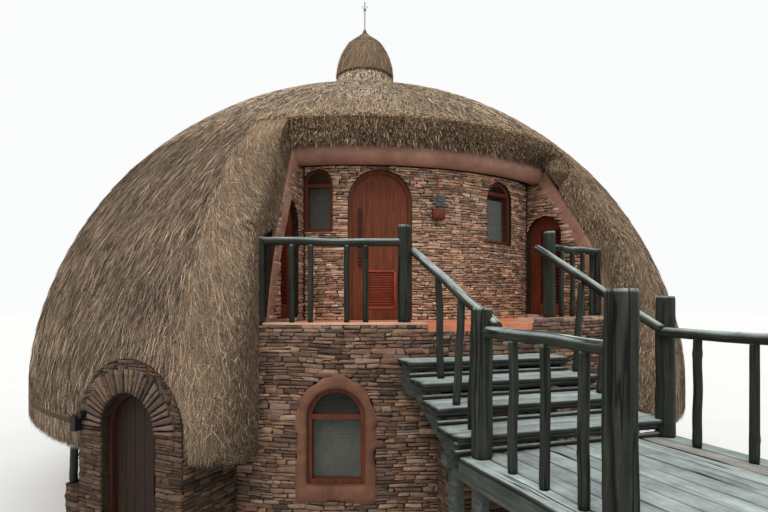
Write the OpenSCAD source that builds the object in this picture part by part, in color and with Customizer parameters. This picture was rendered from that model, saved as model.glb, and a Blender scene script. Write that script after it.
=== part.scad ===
// Two-storey rondavel hut: a dome of thatch over a round house of dry-laid stone.
// The front of the dome is cut away over a raised terrace, which a timber stair
// and deck lead up to. A small arched porch opens the ground floor at the left.
// Sizes are in millimetres. The origin is on the axis of the dome at ground level,
// +Z is up and the terrace faces -Y. Angles are counted from the front, towards +X.

/* [House] */
// Outer radius of the ground floor wall
wall_r = 5350; // [5300:10:5400]
// Thickness of the ground floor wall
wall_t = 380; // [300:10:450]
// Height of the upper floor and terrace above the ground
terrace_z = 3000; // [2900:10:3100]
// Thickness of the floor slab on the ground
ground_slab_t = 100; // [60:5:150]
// Thickness of the slab between the storeys
upper_slab_t = 160; // [120:5:220]
// Thickness of the coloured screed on the terrace
screed_t = 40; // [20:5:80]
// Depth of the screed's edge that shows at the head of the stair
screed_edge = 90; // [50:5:140]
// Thickness of the upper walls
upper_wall_t = 280; // [200:10:350]

/* [Terrace niche] */
// Radius of the stone wall at the back of the niche
niche_r = 3900; // [3850:10:3950]
// Directions of the left and right end of the niche
niche_as = [-28.5, 31];
// Directions in which the left and right side walls run outwards
cheek_turns = [-28.5, 21.4];
// Thickness of the side walls
cheek_t = 220; // [190:10:240]
// Radius of the round plaster beam over the niche
beam_r = 170; // [140:5:180]
// Depth of the two raking plaster beams, seen from the niche
raker_d = 240; // [200:5:260]
// Thickness of the raking beams, most of it let into the side walls
raker_t = 100; // [70:5:105]
// How far the raking beams stand out of the side walls
raker_proud = 12; // [5:1:20]
// Distance of the feet of the raking beams from the face of the ground floor wall
raker_feet = [250, 121];
// Radius of the bow at the feet of the raking beams
bow_rs = [4500, 2600];
// Lean of the raking beams at their feet
foot_leans = [9, 0];
// Height of the stone coping at the edge of the terrace, left and right of the stair
coping_hs = [20, 60];
// Width of the coping
coping_w = 340; // [300:10:380]
// Directions of the two ends of the stair head, where the coping stops
stair_head_as = [-6.65, 9.4];

/* [Thatch] */
// Outer radius of the dome at its widest
dome_r = 6210; // [6150:10:6300]
// Height of the widest part
dome_z = 1600; // [1500:10:1700]
// Rise of the dome above its widest part
dome_h = 6060; // [6000:10:6150]
// Thickness of the coat of thatch
thatch_t = 340; // [280:10:380]
// Height of the lower edge of the thatch
eave_z = 1425; // [1400:10:1500]
// Height over which the edge of the thatch rounds in
eave_round = 380; // [300:10:450]
// How far the edge of the thatch rounds in
eave_in = 160; // [80:10:200]
// Height of the lower edge of the brow over the terrace
brow_z = 5515; // [5480:5:5550]
// Height of the cut straw face of the brow
brow_face = 330; // [280:10:370]
// Angle over which the thatch rounds in beside the niche
verge_a = 6.5; // [5:0.5:8]
// Direction of the inner edge of the thatch at both sides of the niche
verge_start = 28.8; // [28.6:0.1:29.5]
// Share of the thatch's depth that the rounding takes away
verge_cut = 0.72; // [0.3:0.02:0.85]
// Radius of the thatch cap
cap_r = 618; // [590:2:650]
// Height of the lower rim of the cap
cap_z = 8250; // [8200:10:8320]
// Height of the cap
cap_h = 1110; // [1050:10:1150]
// Height of the metal spike above the cap
spike_h = 620; // [500:10:700]

/* [Ground floor porch] */
// Direction of the porch, counted from straight ahead
porch_a = -41.1; // [-41.5:0.1:-40.5]
// Distance of the porch's face from the axis of the dome
porch_face = 6150; // [6100:10:6200]
// Half of the width of the porch
porch_half = 830; // [800:10:840]
// Half of the width of its arched opening
porch_open = 440; // [420:5:460]
// Height at which its arch springs
porch_spring = 1795; // [1750:5:1830]
// Width of the ring of arch stones
voussoir = 280; // [240:10:300]
// How far the arch stones stand out
voussoir_out = 25; // [10:5:40]
// Half of the width of the passage behind the arch
passage_half = 480; // [470:5:500]
// Height of the passage above the ground
passage_h = 2240; // [2230:5:2280]
// Depth of the arched front of the porch
porch_front_t = 240; // [225:5:280]

/* [Doors and windows] */
// Width of the terrace door with its frame
main_door_w = 950; // [900:10:1000]
// Height of the terrace door with its frame
main_door_h = 2240; // [2100:10:2250]
// Direction of the terrace door
main_door_a = -11.5; // [-13:0.5:-10]
// Widths of the left and right upper windows with their frames
window_ws = [440, 590];
// Heights of the upper windows with their frames
window_hs = [930, 1015];
// Heights of their sills above the terrace
window_sills = [1315, 1205];
// Heights of their transoms above their sills
window_transoms = [700, 825];
// Directions of the upper windows
window_as = [-25.2, 19.5];
// Width of the louvred doors with their frames
louvre_door_w = 650; // [600:10:660]
// Height of the louvred doors with their frames
louvre_door_h = 1660; // [1560:10:1700]
// Distances of the middles of the louvred doors from the back wall of the niche
louvre_us = [538, 350];
// Width of the stile beside the slats, towards the back wall
wide_stile = 195; // [150:5:220]
// Width of the lower window with its frame
lower_window_w = 700; // [620:10:760]
// Height of the lower window with its frame
lower_window_h = 1164; // [1000:2:1200]
// Height of its sill above the ground
lower_window_sill = 1070; // [1050:10:1180]
// Direction of the lower window
lower_window_a = -18.6; // [-19:0.1:-18]
// Width of the plaster surround of the lower window
surround_w = 135; // [100:5:160]
// Height of the plaster sill of the lower window
surround_sill = 200; // [150:5:240]
// How far the surround stands out of the wall at its middle
surround_out = 25; // [15:5:40]
// Width of the window and door frames seen from the front
frame_w = 55; // [45:1:65]
// Depth of the window and door frames
frame_d = 110; // [90:5:120]
// Thickness of the door leaves
leaf_t = 45; // [40:1:55]
// Gap round the leaf that opens
leaf_gap = 6; // [5:0.5:8]
// Radius of the hinge knuckles
knuckle_r = 11; // [9:0.5:13]

/* [Stair and deck] */
// Height of the deck above the ground
deck_z = 1890; // [1870:5:1910]
// Number of plank treads
treads = 4; // [4:1:4]
// Height of each riser below the top tread
riser = 178; // [172:1:182]
// Distance from nose to nose of the treads
going = 400; // [390:5:410]
// How far the nose of the first tread is from the wall
first_nose = 375; // [365:5:385]
// Thickness of the treads
tread_t = 55; // [45:1:60]
// Depth of each tread
tread_depth = 455; // [440:5:470]
// Left end of the treads
stair_left = -1010; // [-1030:5:-990]
// Right end of the top tread
stair_right = 1118; // [1100:2:1140]
// How much farther right each tread below it ends
stair_flare = 105; // [80:5:120]
// Diameter of the logs between the treads
log_d = 48; // [40:1:52]
// Thickness of the sawtooth bearers under the treads
bearer_t = 70; // [50:5:80]
// Left and right side of the stone pier under the stair
pier_sides = [-490, 900];
// Place of the middle of the deck's near end
deck_at = [280, -6980];
// Turn of the deck away from straight ahead
deck_turn = 5.5; // [4.5:0.5:6]
// Length of one bay of the deck
deck_bay = 1550; // [1500:10:1600]
// How far the deck reaches back behind its first posts
deck_back = 185; // [175:5:200]
// Left edge of the deck
deck_left = -1230; // [-1250:5:-1220]
// Right edge of the deck
deck_right = 1250; // [1240:5:1270]
// Thickness of the deck boards
board_t = 45; // [35:1:55]
// Number of deck boards
boards = 11; // [8:1:13]
// Gap between the deck boards
board_gap = 9; // [5:1:14]
// Height of the beams round the deck
deck_beam_h = 160; // [130:5:190]
// Width of the beams round the deck
deck_beam_w = 70; // [50:5:90]
// Diameter of the posts under the deck
leg_d = 150; // [120:5:180]

/* [Railings] */
// Diameter of the slim posts at the corners of the terrace
slim_post_d = 120; // [110:5:130]
// Diameter of the newels at the head of the stair
newel_d = 165; // [155:5:175]
// Diameter of the posts of the deck
post_d = 188; // [180:2:196]
// Diameter of the big post at the front of the deck
big_post_d = 210; // [200:5:220]
// Diameter of the handrails
rail_d = 105; // [96:1:110]
// Diameter of the balusters
baluster_d = 80; // [70:5:90]
// Height of the terrace rail above the terrace
terrace_rail_h = 1025; // [990:5:1050]
// Height of the corner posts above the terrace
corner_post_h = 1080; // [1060:5:1100]
// Height of the newels at the stair head above the terrace
newel_h = 1243; // [1200:5:1260]
// Height of the deck's left rail above the deck
left_rail_h = 1125; // [1100:5:1140]
// Height of the deck's right rail above the deck
right_rail_h = 1082; // [1060:2:1100]
// Heights of the left newel, right posts and big post above the deck
deck_post_hs = [1340, 1450, 1477];

/* [Hidden] */
eps = 1;
far = 9000;
// Clearance of curved seats, and the joint between neighbouring wall segments
seat = 0.3;
// A hair of air under whatever stands on a flat face.
bed = 0.05;
joint_a = 0.004;

// Points of the thatch. Both faces are quarter ellipses with one centre.
inner_rr = dome_r - thatch_t;
inner_h = dome_h - thatch_t;
function outer_r(z) = dome_r * sqrt(max(0, 1 - pow((z - dome_z) / dome_h, 2)));
function inner_r(z) = inner_rr * sqrt(max(0, 1 - pow((z - dome_z) / inner_h, 2)));
function outer_pt(a) = [dome_r * cos(a), dome_z + dome_h * sin(a)];
function inner_pt(a) = [inner_rr * cos(a), dome_z + inner_h * sin(a)];

lip_z = brow_z + brow_face;
lip_a = asin((lip_z - dome_z) / dome_h);
brow_in_a = asin((brow_z - dome_z) / inner_h);
collar_a = 78;
collar_r = 600;
collar_z = cap_z - 50;
cap_seat_r = 540;
cap_seat_z = cap_z + 50;
profile_steps = 14;

// The cut face of the brow, from its inner corner to its lip, bowed out a little.
brow_in = [inner_r(brow_z), brow_z];
lip = [outer_r(lip_z), lip_z];
brow_bow = 45;
brow_cut = [for (t = [0 : 0.25 : 1])
    brow_in + t * (lip - brow_in) + sin(180 * t) * brow_bow * [0.9, -0.45]];

// Where the outside of the thatch rounds in to the eave.
eave_top = eave_z + eave_round;
eave_r = outer_r(eave_top);
function eave_pt(t) = [eave_r - eave_in * (1 - cos(t)), eave_top - eave_round * sin(t)];

// The underside of the thatch, from the brow down and from the brow up. The thatch
// beside the niche steps in over the corner posts, between shelf_z and shelf_top.
shelf_z = terrace_z + corner_post_h + 30;
shelf_top = shelf_z + 190;
inner_zs = concat(
    [for (k = [0 : 2]) brow_z - (brow_z - shelf_top) * k / 3],
    [shelf_top, shelf_z, terrace_z, dome_z]
);
skirt_inner = [for (z = inner_zs) [inner_r(z), z]];
crown_inner = [for (i = [1 : 4]) inner_pt(brow_in_a + (90 - brow_in_a) * i / 4)];
function ceiling_z(r) = lookup(r, concat(crown_inner, skirt_inner)) - 3 * seat;

// Centre of the ring beam, which touches the back wall under the brow.
beam_c = [niche_r + beam_r + seat, brow_z - 75];

// Side walls of the niche, s = 0 at the left and 1 at the right. Each has a frame of
// its own: X out through the wall, -Y along it, with Y = 0 on the back wall's face.
function corner(s) = niche_r * [sin(niche_as[s]), -cos(niche_as[s])];
function cheek_dir(s) = [sin(cheek_turns[s]), -cos(cheek_turns[s])];
function cheek_out(s) = (s == 0 ? -1 : 1) * [cos(cheek_turns[s]), sin(cheek_turns[s])];
function cheek_u(s, r) =
    let (b = corner(s) * cheek_dir(s))
    -b + sqrt(b * b - niche_r * niche_r + r * r);
function cheek_r(s, u, x) = norm(corner(s) + cheek_dir(s) * u + cheek_out(s) * x);

// Path of a raking beam in the plane of its wall: a bow at the foot, then straight
// on to the ring beam.
raker_end_r = beam_c[0] + 110;
raker_end_z = beam_c[1] - 40;
function bow_c(s) = [cheek_u(s, wall_r - raker_feet[s]), terrace_z]
    - bow_rs[s] * [cos(foot_leans[s]), sin(foot_leans[s])];
function to_end(s) = [cheek_u(s, raker_end_r), raker_end_z] - bow_c(s);
function top_lean(s) =
    let (v = to_end(s))
    atan2(v[1], v[0]) - acos(min(1, bow_rs[s] / norm(v)));
function straight_len(s) =
    sqrt(max(1, pow(norm(to_end(s)), 2) - pow(bow_rs[s], 2)));

// Distance along the wall of the outer edge of the raking beam at a height.
function raker_edge(s, z) =
    let (
        c = bow_c(s),
        ro = bow_rs[s] + raker_d / 2,
        t = c + ro * [cos(top_lean(s)), sin(top_lean(s))]
    )
    z > t[1] ? t[0] - (z - t[1]) * tan(top_lean(s))
    : c[0] + sqrt(ro * ro - pow(z - c[1], 2));

// The inside of the thatch beside the niche, outside the posts and raking beams.
verge_clear = 25;
function verge_in_r(s, z) =
    z < shelf_top - eps
    ? max(wall_r, cheek_r(s, raker_edge(s, terrace_z), raker_t)) + verge_clear
    : min(cheek_r(s, raker_edge(s, z), raker_t) + verge_clear, inner_r(z) - eps);

slab_seat = 140;
slab_r = wall_r - slab_seat - seat;
slab_z = terrace_z - upper_slab_t - screed_t;

// Levels and places of the stair, from the top tread down. Distances run outwards
// from the axis of the dome.
function tread_z(i) = deck_z + riser * (treads - i);
function nose(i) = wall_r + first_nose + going * i;
log_in = 45;
function riser_face(i) = nose(i) - log_in - log_d / 2 - seat;
bearer_drop = 122;
sill_z = deck_z - board_t;
sill_s = nose(treads - 1) - 365;
function under_bearer(s) =
    tread_z(treads - 1) - tread_t - bearer_drop
    + (riser_face(treads - 2) - s) * riser / going;
pier_s = wall_r + 390;
pier_z = under_bearer(pier_s);

rail_z = terrace_z + terrace_rail_h;
left_rail_z = deck_z + left_rail_h;
right_rail_z = deck_z + right_rail_h;

function round_at(a, r) = [r * sin(a), -r * cos(a)];
function lift(p, z) = [p[0], p[1], z];
function deck_pt(x, s) =
    deck_at + x * [cos(deck_turn), sin(deck_turn)] + s * [sin(deck_turn), -cos(deck_turn)];

// Corner posts and newels of the terrace, left and right of the stair.
corner_posts = [round_at(-29.04, wall_r - slim_post_d / 2), round_at(27.6, wall_r - 135)];
newels = [round_at(-9.26, wall_r - 254), round_at(14.4, wall_r - 148)];

// Posts of the deck, as places across and along it.
left_post_x = -1043;
right_post_x = 1129;
deck_posts = [
    [left_post_x, -95, post_d, 0],
    [right_post_x, 13, post_d, 1],
    [right_post_x, 13 + deck_bay, post_d, 1],
    [right_post_x, 13 + 2 * deck_bay, post_d, 1],
    [left_post_x, deck_bay - 105, big_post_d, 2]
];
deck_len = deck_back + 2 * deck_bay + 130;

// Shared shapes

// A pie-shaped part of a revolved outline, between two angles from the front.
module sector(a1, a2) {
    rotate([0, 0, a1 + joint_a - 90])
        rotate_extrude(angle = a2 - a1 - 2 * joint_a, $fn = 360)
            children();
}

module ring_part(r1, r2, z1, z2, a1, a2) {
    sector(a1, a2)
        translate([r1, z1])
            square([r2 - r1, z2 - z1]);
}

module disc(r, z1, z2) {
    translate([0, 0, z1])
        cylinder(r = r, h = z2 - z1, $fn = 360);
}

// An outline with upright sides and a half-round top, standing on the X axis.
module arch_2d(w, h, lift = 0) {
    translate([-w / 2, lift])
        square([w, h - w / 2 - lift]);
    translate([0, h - w / 2])
        circle(d = w, $fn = 64);
}

// An arch with a soft point, struck from two centres.
module pointed_2d(w, h) {
    strike = w * 0.53;
    off = strike - w / 2;
    spring = h - sqrt(strike * strike - off * off);
    translate([-w / 2, 0])
        square([w, spring]);
    translate([0, spring])
        intersection() {
            translate([off, 0])
                circle(r = strike, $fn = 96);
            translate([-off, 0])
                circle(r = strike, $fn = 96);
            translate([-w / 2, -eps])
                square([w, strike + eps]);
        }
}

// An upright slab of an outline, from y0 to y1.
module upright(y0, y1) {
    translate([0, y1, 0])
        rotate([90, 0, 0])
            linear_extrude(y1 - y0)
                children();
}

module arch_prism(w, h, y0, y1) {
    upright(y0, y1)
        arch_2d(w, h);
}

// Turns a thing modelled at the front to its direction.
module at_angle(a) {
    rotate([0, 0, a])
        children();
}

// The frame of the porch: X along its face, Y = 0 on the face, -Y outwards.
module at_porch() {
    at_angle(porch_a)
        translate([0, -porch_face, 0])
            children();
}

// The frame of the deck: X across, -Y away from the house.
module at_deck() {
    translate([deck_at[0], deck_at[1], 0])
        rotate([0, 0, deck_turn])
            children();
}

// The frame of a side wall of the niche.
module at_cheek(s) {
    translate([corner(s)[0], corner(s)[1], 0])
        rotate([0, 0, cheek_turns[s]])
            mirror([s == 0 ? 1 : 0, 0, 0])
                children();
}

// A slab in the plane of a side wall, of an outline drawn as distance and height.
module cheek_slab(x0, x1) {
    translate([x1, 0, 0])
        rotate([0, 0, -90])
            rotate([90, 0, 0])
                linear_extrude(x1 - x0)
                    children();
}

// A slab across X, of an outline drawn as distance from the house and height.
module stair_slab(x0, x1) {
    translate([x1, 0, 0])
        rotate([0, 0, -90])
            rotate([90, 0, 0])
                linear_extrude(x1 - x0)
                    children();
}

// A straight round pole between two points.
module pole(p, q, d) {
    v = q - p;
    translate(p)
        rotate([0, acos(v[2] / norm(v)), atan2(v[1], v[0])])
            cylinder(d = d, h = norm(v), $fn = 32);
}

// A pole that leans from a place on a floor to a point on a rail.
module stake(foot, z, top, d) {
    p = lift(foot, z);
    v = top - p;
    difference() {
        pole(p - v * 0.02, top, d);
        translate([foot[0] - 500, foot[1] - 500, z - 500])
            cube([1000, 1000, 500 + bed]);
    }
}

// Ground floor

module porch_passage() {
    at_porch()
        translate([-passage_half, porch_front_t, -eps])
            cube([2 * passage_half, far, passage_h + eps]);
}

module lower_window_hole() {
    at_angle(lower_window_a)
        translate([0, 0, lower_window_sill])
            arch_prism(lower_window_w, lower_window_h, -wall_r - 200, -wall_r + wall_t + 200);
}

frame_in = 100;
frame_back = frame_in + frame_d;
door_half = porch_open - frame_w;

// The floor runs out through the passage and ends as a threshold in the door frame.
module ground_floor_slab() {
    color([0.55, 0.5, 0.46]) {
        disc(wall_r - wall_t - seat, 0, ground_slab_t);
        at_porch() {
            translate([-passage_half + seat, porch_front_t + seat, 0])
                cube([2 * (passage_half - seat), porch_face - wall_r + wall_t, ground_slab_t]);
            translate([-door_half + seat, frame_in + 15, 0])
                cube([2 * (door_half - seat), porch_front_t - frame_in, ground_slab_t]);
        }
    }
}

// The wall carries the upper slab on a ledge.
module lower_wall(a1, a2) {
    color([0.47, 0.37, 0.31])
        sector(a1, a2)
            polygon([
                [wall_r - wall_t, 0],
                [wall_r, 0],
                [wall_r, terrace_z],
                [wall_r - slab_seat, terrace_z],
                [wall_r - slab_seat, slab_z],
                [wall_r - wall_t, slab_z]
            ]);
}

jamb_a = 6;

module lower_wall_front() {
    difference() {
        lower_wall(porch_a + jamb_a, 60);
        lower_window_hole();
        surround_body();
        ring_part(slab_r - eps, wall_r + eps, terrace_z - screed_edge - bed, far,
            stair_head_as[0] - 2 * joint_a, stair_head_as[1] + 2 * joint_a);
    }
}

module lower_wall_right() {
    lower_wall(60, 145);
}

module lower_wall_back() {
    lower_wall(145, 230);
}

module lower_wall_left() {
    lower_wall(230, 360 + porch_a - jamb_a);
}

module lower_wall_over_door() {
    difference() {
        lower_wall(porch_a - jamb_a, porch_a + jamb_a);
        porch_passage();
    }
}

module porch_body() {
    difference() {
        at_porch()
            difference() {
                upright(0, far / 4)
                    arch_2d(2 * porch_half, porch_spring + porch_half);
                arch_prism(2 * porch_open, porch_spring + porch_open, -eps, porch_front_t + eps);
            }
        porch_passage();
        disc(wall_r + seat, -eps, far);
    }
}

module porch_level(z0, z1) {
    at_porch()
        translate([-far / 2, -far / 2, z0])
            cube([far, far, z1 - z0]);
}

side_pier_w = 250;
side_pier_d = 435;
side_pier_h = 1040;

module porch_walls() {
    color([0.49, 0.4, 0.34]) {
        intersection() {
            porch_body();
            porch_level(0, porch_spring);
        }
        at_porch()
            translate([-porch_half - side_pier_w, 0, 0])
                cube([side_pier_w, side_pier_d, side_pier_h]);
    }
}

module porch_arch() {
    color([0.47, 0.38, 0.32])
        intersection() {
            porch_body();
            porch_level(porch_spring, far);
        }
}

// The ring of long thin stones stands out of the porch's face.
module porch_arch_stones() {
    stones = 17;
    stone_a = 180 / stones;
    joint = 1.1;
    color([0.52, 0.42, 0.35])
        at_porch()
            translate([0, 0, porch_spring])
                upright(-voussoir_out, 0)
                    for (i = [0 : stones - 1])
                        rotate(i * stone_a)
                            arch_stone_2d(stone_a, joint);
}

module arch_stone_2d(stone_a, joint) {
    r2 = porch_open + voussoir;
    polygon([
        porch_open * [cos(joint / 2), sin(joint / 2)],
        r2 * [cos(joint / 2), sin(joint / 2)],
        r2 * [cos(stone_a - joint / 2), sin(stone_a - joint / 2)],
        porch_open * [cos(stone_a - joint / 2), sin(stone_a - joint / 2)]
    ]);
}

// A dark green pole stands on the low side pier and props the eave.
module porch_post() {
    color([0.25, 0.3, 0.28])
        at_porch()
            translate([-porch_half - side_pier_w + 60, 60, side_pier_h])
                cylinder(d = 95, h = eave_z - side_pier_h, $fn = 32);
}

module porch_lamp() {
    lamp_x = -porch_half + 60;
    lamp_z = 1930;
    color([0.08, 0.09, 0.08])
        at_porch() {
            translate([lamp_x + 60, -100, lamp_z])
                rotate([-90, 0, 0])
                    cylinder(r = 48, h = 100 - voussoir_out, $fn = 32);
            translate([lamp_x - 50, -130, lamp_z - 190])
                cube([90, 90, 170]);
            translate([lamp_x - 50, -100, lamp_z - 40])
                cube([100, 40, 40]);
        }
}

hinge_zs = [ground_slab_t + 260, ground_slab_t + 1380];
hinge_len = 70;
hinge_pad = 50;
hinge_x = -door_half + leaf_gap / 2;
hinge_y = frame_back + knuckle_r + 1;

module ground_door_frame() {
    color([0.42, 0.2, 0.12])
        at_porch() {
            difference() {
                arch_prism(2 * porch_open, porch_spring + porch_open, frame_in, frame_back);
                translate([0, 0, -eps])
                    arch_prism(2 * door_half, porch_spring + door_half + eps,
                        frame_in - eps, frame_back + eps);
            }
            for (z = hinge_zs) {
                translate([hinge_x, hinge_y, z + hinge_len / 2])
                    frame_knuckle();
                translate([hinge_x, hinge_y, z - hinge_len])
                    frame_knuckle();
            }
        }
}

module frame_knuckle() {
    cylinder(r = knuckle_r, h = hinge_len / 2, $fn = 32);
    translate([-hinge_pad, -knuckle_r - 1, 0])
        cube([hinge_pad, 5, hinge_len / 2]);
}

// The leaf fills the arch, of upright planks with a round-headed top.
module ground_door() {
    leaf_half = door_half - leaf_gap;
    leaf_y = frame_back - leaf_t;
    color([0.2, 0.12, 0.09])
        at_porch() {
            difference() {
                arch_prism(2 * leaf_half, porch_spring + leaf_half, leaf_y, frame_back);
                translate([-far / 2, -far / 2, -eps])
                    cube([far, far, ground_slab_t + leaf_gap + eps]);
                for (x = [-0.6 : 0.4 : 0.6])
                    translate([x * leaf_half - 3, leaf_y - eps, 0])
                        cube([6, 4 + eps, far]);
            }
            for (z = hinge_zs)
                translate([hinge_x, hinge_y, z - hinge_len / 2 + seat])
                    leaf_knuckle();
            translate([leaf_half - 90, leaf_y - 60, 1050])
                pull_bar(240);
        }
}

module leaf_knuckle() {
    h = hinge_len - 2 * seat;
    cylinder(r = knuckle_r, h = h, $fn = 32);
    translate([0, -knuckle_r - 1, 0])
        cube([hinge_pad, 5, h]);
}

// An upright bar on two pegs.
module pull_bar(h) {
    cylinder(r = 12, h = h, $fn = 24);
    for (z = [30, h - 30])
        translate([0, 0, z])
            rotate([-90, 0, 0])
                cylinder(r = 8, h = 60, $fn = 24);
}

// The hand-formed plaster round the lower window, with a deep sill.
module surround_body() {
    at_angle(lower_window_a)
        translate([0, 0, lower_window_sill - surround_sill])
            upright(-wall_r - surround_out, -wall_r + 140)
                pointed_2d(lower_window_w + 2 * surround_w,
                    lower_window_h + surround_w + surround_sill + 28);
}

module lower_window_surround() {
    color([0.5, 0.3, 0.21])
        difference() {
            surround_body();
            lower_window_hole();
        }
}

// A timber frame with a transom under its round head.
module window_frame(w, h, transom, glass_head = true) {
    upright(0, frame_d)
        difference() {
            arch_2d(w, h);
            window_lights(w, h, transom, glass_head);
        }
}

module window_lights(w, h, transom, glass_head = true) {
    difference() {
        arch_2d(w - 2 * frame_w, h - frame_w, frame_w);
        translate([-w / 2, transom - frame_w / 2])
            square([w, glass_head ? frame_w : h]);
    }
}

lower_transom = lower_window_h - lower_window_w / 2;
lower_frame_y = -wall_r + 60;
upper_frame_y = -niche_r + 50;

module lower_window_frame() {
    color([0.38, 0.19, 0.12])
        at_angle(lower_window_a)
            translate([0, lower_frame_y, lower_window_sill])
                window_frame(lower_window_w, lower_window_h, lower_transom);
}

module window_glass() {
    glass_t = 6;
    color([0.35, 0.38, 0.36, 0.6]) {
        at_angle(lower_window_a)
            translate([0, lower_frame_y + frame_d / 2, lower_window_sill])
                upright(0, glass_t)
                    window_lights(lower_window_w, lower_window_h, lower_transom);
        for (i = [0, 1])
            at_angle(window_as[i])
                translate([0, upper_frame_y + frame_d / 2, terrace_z + window_sills[i]])
                    upright(0, glass_t)
                        window_lights(window_ws[i], window_hs[i], window_transoms[i], i == 1);
    }
}

// Upper floor

module upper_floor() {
    color([0.55, 0.5, 0.46])
        disc(slab_r, slab_z + bed, terrace_z - screed_t - bed);
}

// Screed over the terrace, turned down over the wall at the head of the stair.
module terrace_floor() {
    z0 = terrace_z - screed_t;
    color([0.78, 0.45, 0.31]) {
        ring_part(niche_r + seat, slab_r, z0, terrace_z - bed, -36, 36);
        sector(stair_head_as[0], stair_head_as[1])
            polygon([
                [slab_r - 5, z0],
                [slab_r + seat, z0],
                [slab_r + seat, terrace_z - screed_edge],
                [wall_r, terrace_z - screed_edge],
                [wall_r, terrace_z - bed],
                [slab_r - 5, terrace_z - bed]
            ]);
    }
}

// A low course of stone along the edge of the terrace, on both sides of the stair.
module terrace_coping() {
    color([0.52, 0.42, 0.35])
        for (s = [0, 1])
            difference() {
                ring_part(wall_r - coping_w, wall_r, terrace_z + bed, terrace_z + coping_hs[s],
                    s == 0 ? -34 : stair_head_as[1], s == 0 ? stair_head_as[0] : 34);
                at_cheek(s)
                    translate([-raker_proud - seat, -far, 0])
                        cube([far, 2 * far, far]);
            }
}

module upper_openings() {
    at_angle(main_door_a)
        translate([0, 0, terrace_z])
            arch_prism(main_door_w, main_door_h, -niche_r - 200, -niche_r + upper_wall_t + 200);
    for (i = [0, 1])
        at_angle(window_as[i])
            translate([0, 0, terrace_z + window_sills[i]])
                arch_prism(window_ws[i], window_hs[i], -niche_r - 200, -niche_r + upper_wall_t + 200);
}

module niche_back_wall() {
    wall_end = asin(cheek_t / niche_r) + 0.3;
    r1 = niche_r - upper_wall_t;
    z0 = terrace_z - screed_t;
    color([0.53, 0.43, 0.36])
        difference() {
            sector(niche_as[0] - wall_end, niche_as[1] + wall_end)
                polygon([[r1, z0], [niche_r, z0], [niche_r, ceiling_z(niche_r)], [r1, ceiling_z(r1)]]);
            upper_openings();
        }
}

// A flat band with well rounded edges.
module raker_section(gap) {
    polygon([for (a = [0 : 22.5 : 337.5])
        [sign(cos(a)) * pow(abs(cos(a)), 0.5) * (raker_d / 2 + gap),
         sign(sin(a)) * pow(abs(sin(a)), 0.5) * (raker_t / 2 + gap)]]);
}

module raker_tube(s, gap = 0) {
    below = 3;
    at_cheek(s)
        translate([raker_t / 2 - raker_proud, 0, 0])
            rotate([0, 0, -90])
                rotate([90, 0, 0])
                    translate(bow_c(s)) {
                        rotate([0, 0, foot_leans[s] - below])
                            rotate_extrude(angle = top_lean(s) - foot_leans[s] + below, $fn = 180)
                                translate([bow_rs[s], 0])
                                    raker_section(gap);
                        rotate([0, 0, top_lean(s)])
                            translate([bow_rs[s], -eps, 0])
                                rotate([-90, 0, 0])
                                    linear_extrude(straight_len(s) + eps)
                                        raker_section(gap);
                    }
}

// Two beams of smooth plaster rise beside the niche to the ends of the ring beam.
module raker_beams() {
    color([0.57, 0.4, 0.35])
        for (s = [0, 1])
            difference() {
                raker_tube(s);
                translate([-far, -far, 0])
                    cube([2 * far, 2 * far, terrace_z]);
                ring_tube(40, seat);
            }
}

module ring_tube(past, gap) {
    sector(niche_as[0] - past, niche_as[1] + past)
        translate(beam_c)
            circle(r = beam_r + gap, $fn = 48);
}

module ring_beam() {
    color([0.57, 0.4, 0.35])
        ring_tube(1.8, 0);
}

// Each side wall runs out behind its raking beam. The left one goes on to the post.
module cheek_walls() {
    color([0.5, 0.4, 0.33])
        for (s = [0, 1])
            difference() {
                at_cheek(s)
                    difference() {
                        cheek_slab(0, cheek_t)
                            difference() {
                                polygon(cheek_outline(s));
                                translate([louvre_us[s], louvre_z])
                                    arch_2d(louvre_door_w, louvre_door_h);
                            }
                        cheek_slab(-eps, raker_t - raker_proud + seat)
                            polygon(beyond_raker(s));
                    }
                disc(niche_r + seat, 0, far);
                raker_tube(s, seat);
                ring_tube(40, seat);
            }
}

// The side wall stops just behind the outer edge of its beam, and the left one steps
// out to the post under the shelf of the thatch.
wall_foot = [shelf_z - 60, terrace_z];
function cheek_outline(s) = concat(
    [[-200, raker_end_z], [-200, terrace_z]],
    s == 0 ? [[cheek_end, terrace_z], [cheek_end, wall_foot[0]]] : [],
    [for (k = [0 : 8])
        let (z = wall_foot[s] + (raker_end_z - wall_foot[s]) * k / 8)
        [raker_edge(s, z) - 10, z]]
);

// Everything outside the middle of the beam, where only the beam itself shows.
function beyond_raker(s) = concat(
    [for (k = [0 : 8])
        let (z = wall_foot[s] + (raker_end_z - wall_foot[s]) * k / 8 + (k - 4) * eps)
        [raker_edge(s, z) - raker_d / 2, z]],
    [[far, raker_end_z + 4 * eps], [far, wall_foot[s] - 4 * eps]]
);

// The left side wall ends beside the corner post.
cheek_end = cheek_u(0, wall_r - slim_post_d) - 25;
louvre_z = terrace_z + 50;

// The outer wall of the upper floor stands on the lower wall, under the thatch.
module knee_wall() {
    r1 = wall_r - upper_wall_t;
    color([0.47, 0.37, 0.31])
        sector(skirt_start + 0.2, 360 - skirt_start - 0.2)
            polygon([
                [r1, terrace_z],
                [wall_r, terrace_z],
                [wall_r, ceiling_z(wall_r)],
                [r1, ceiling_z(r1)]
            ]);
}

skirt_start = verge_start + verge_a;

module main_door_frame() {
    color([0.36, 0.15, 0.09])
        at_angle(main_door_a)
            translate([0, -niche_r + 40, terrace_z])
                difference() {
                    arch_prism(main_door_w, main_door_h, 0, frame_d);
                    translate([0, 0, -eps])
                        arch_prism(main_door_w - 2 * frame_w, main_door_h - frame_w + eps,
                            -eps, frame_d + eps);
                }
}

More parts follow.
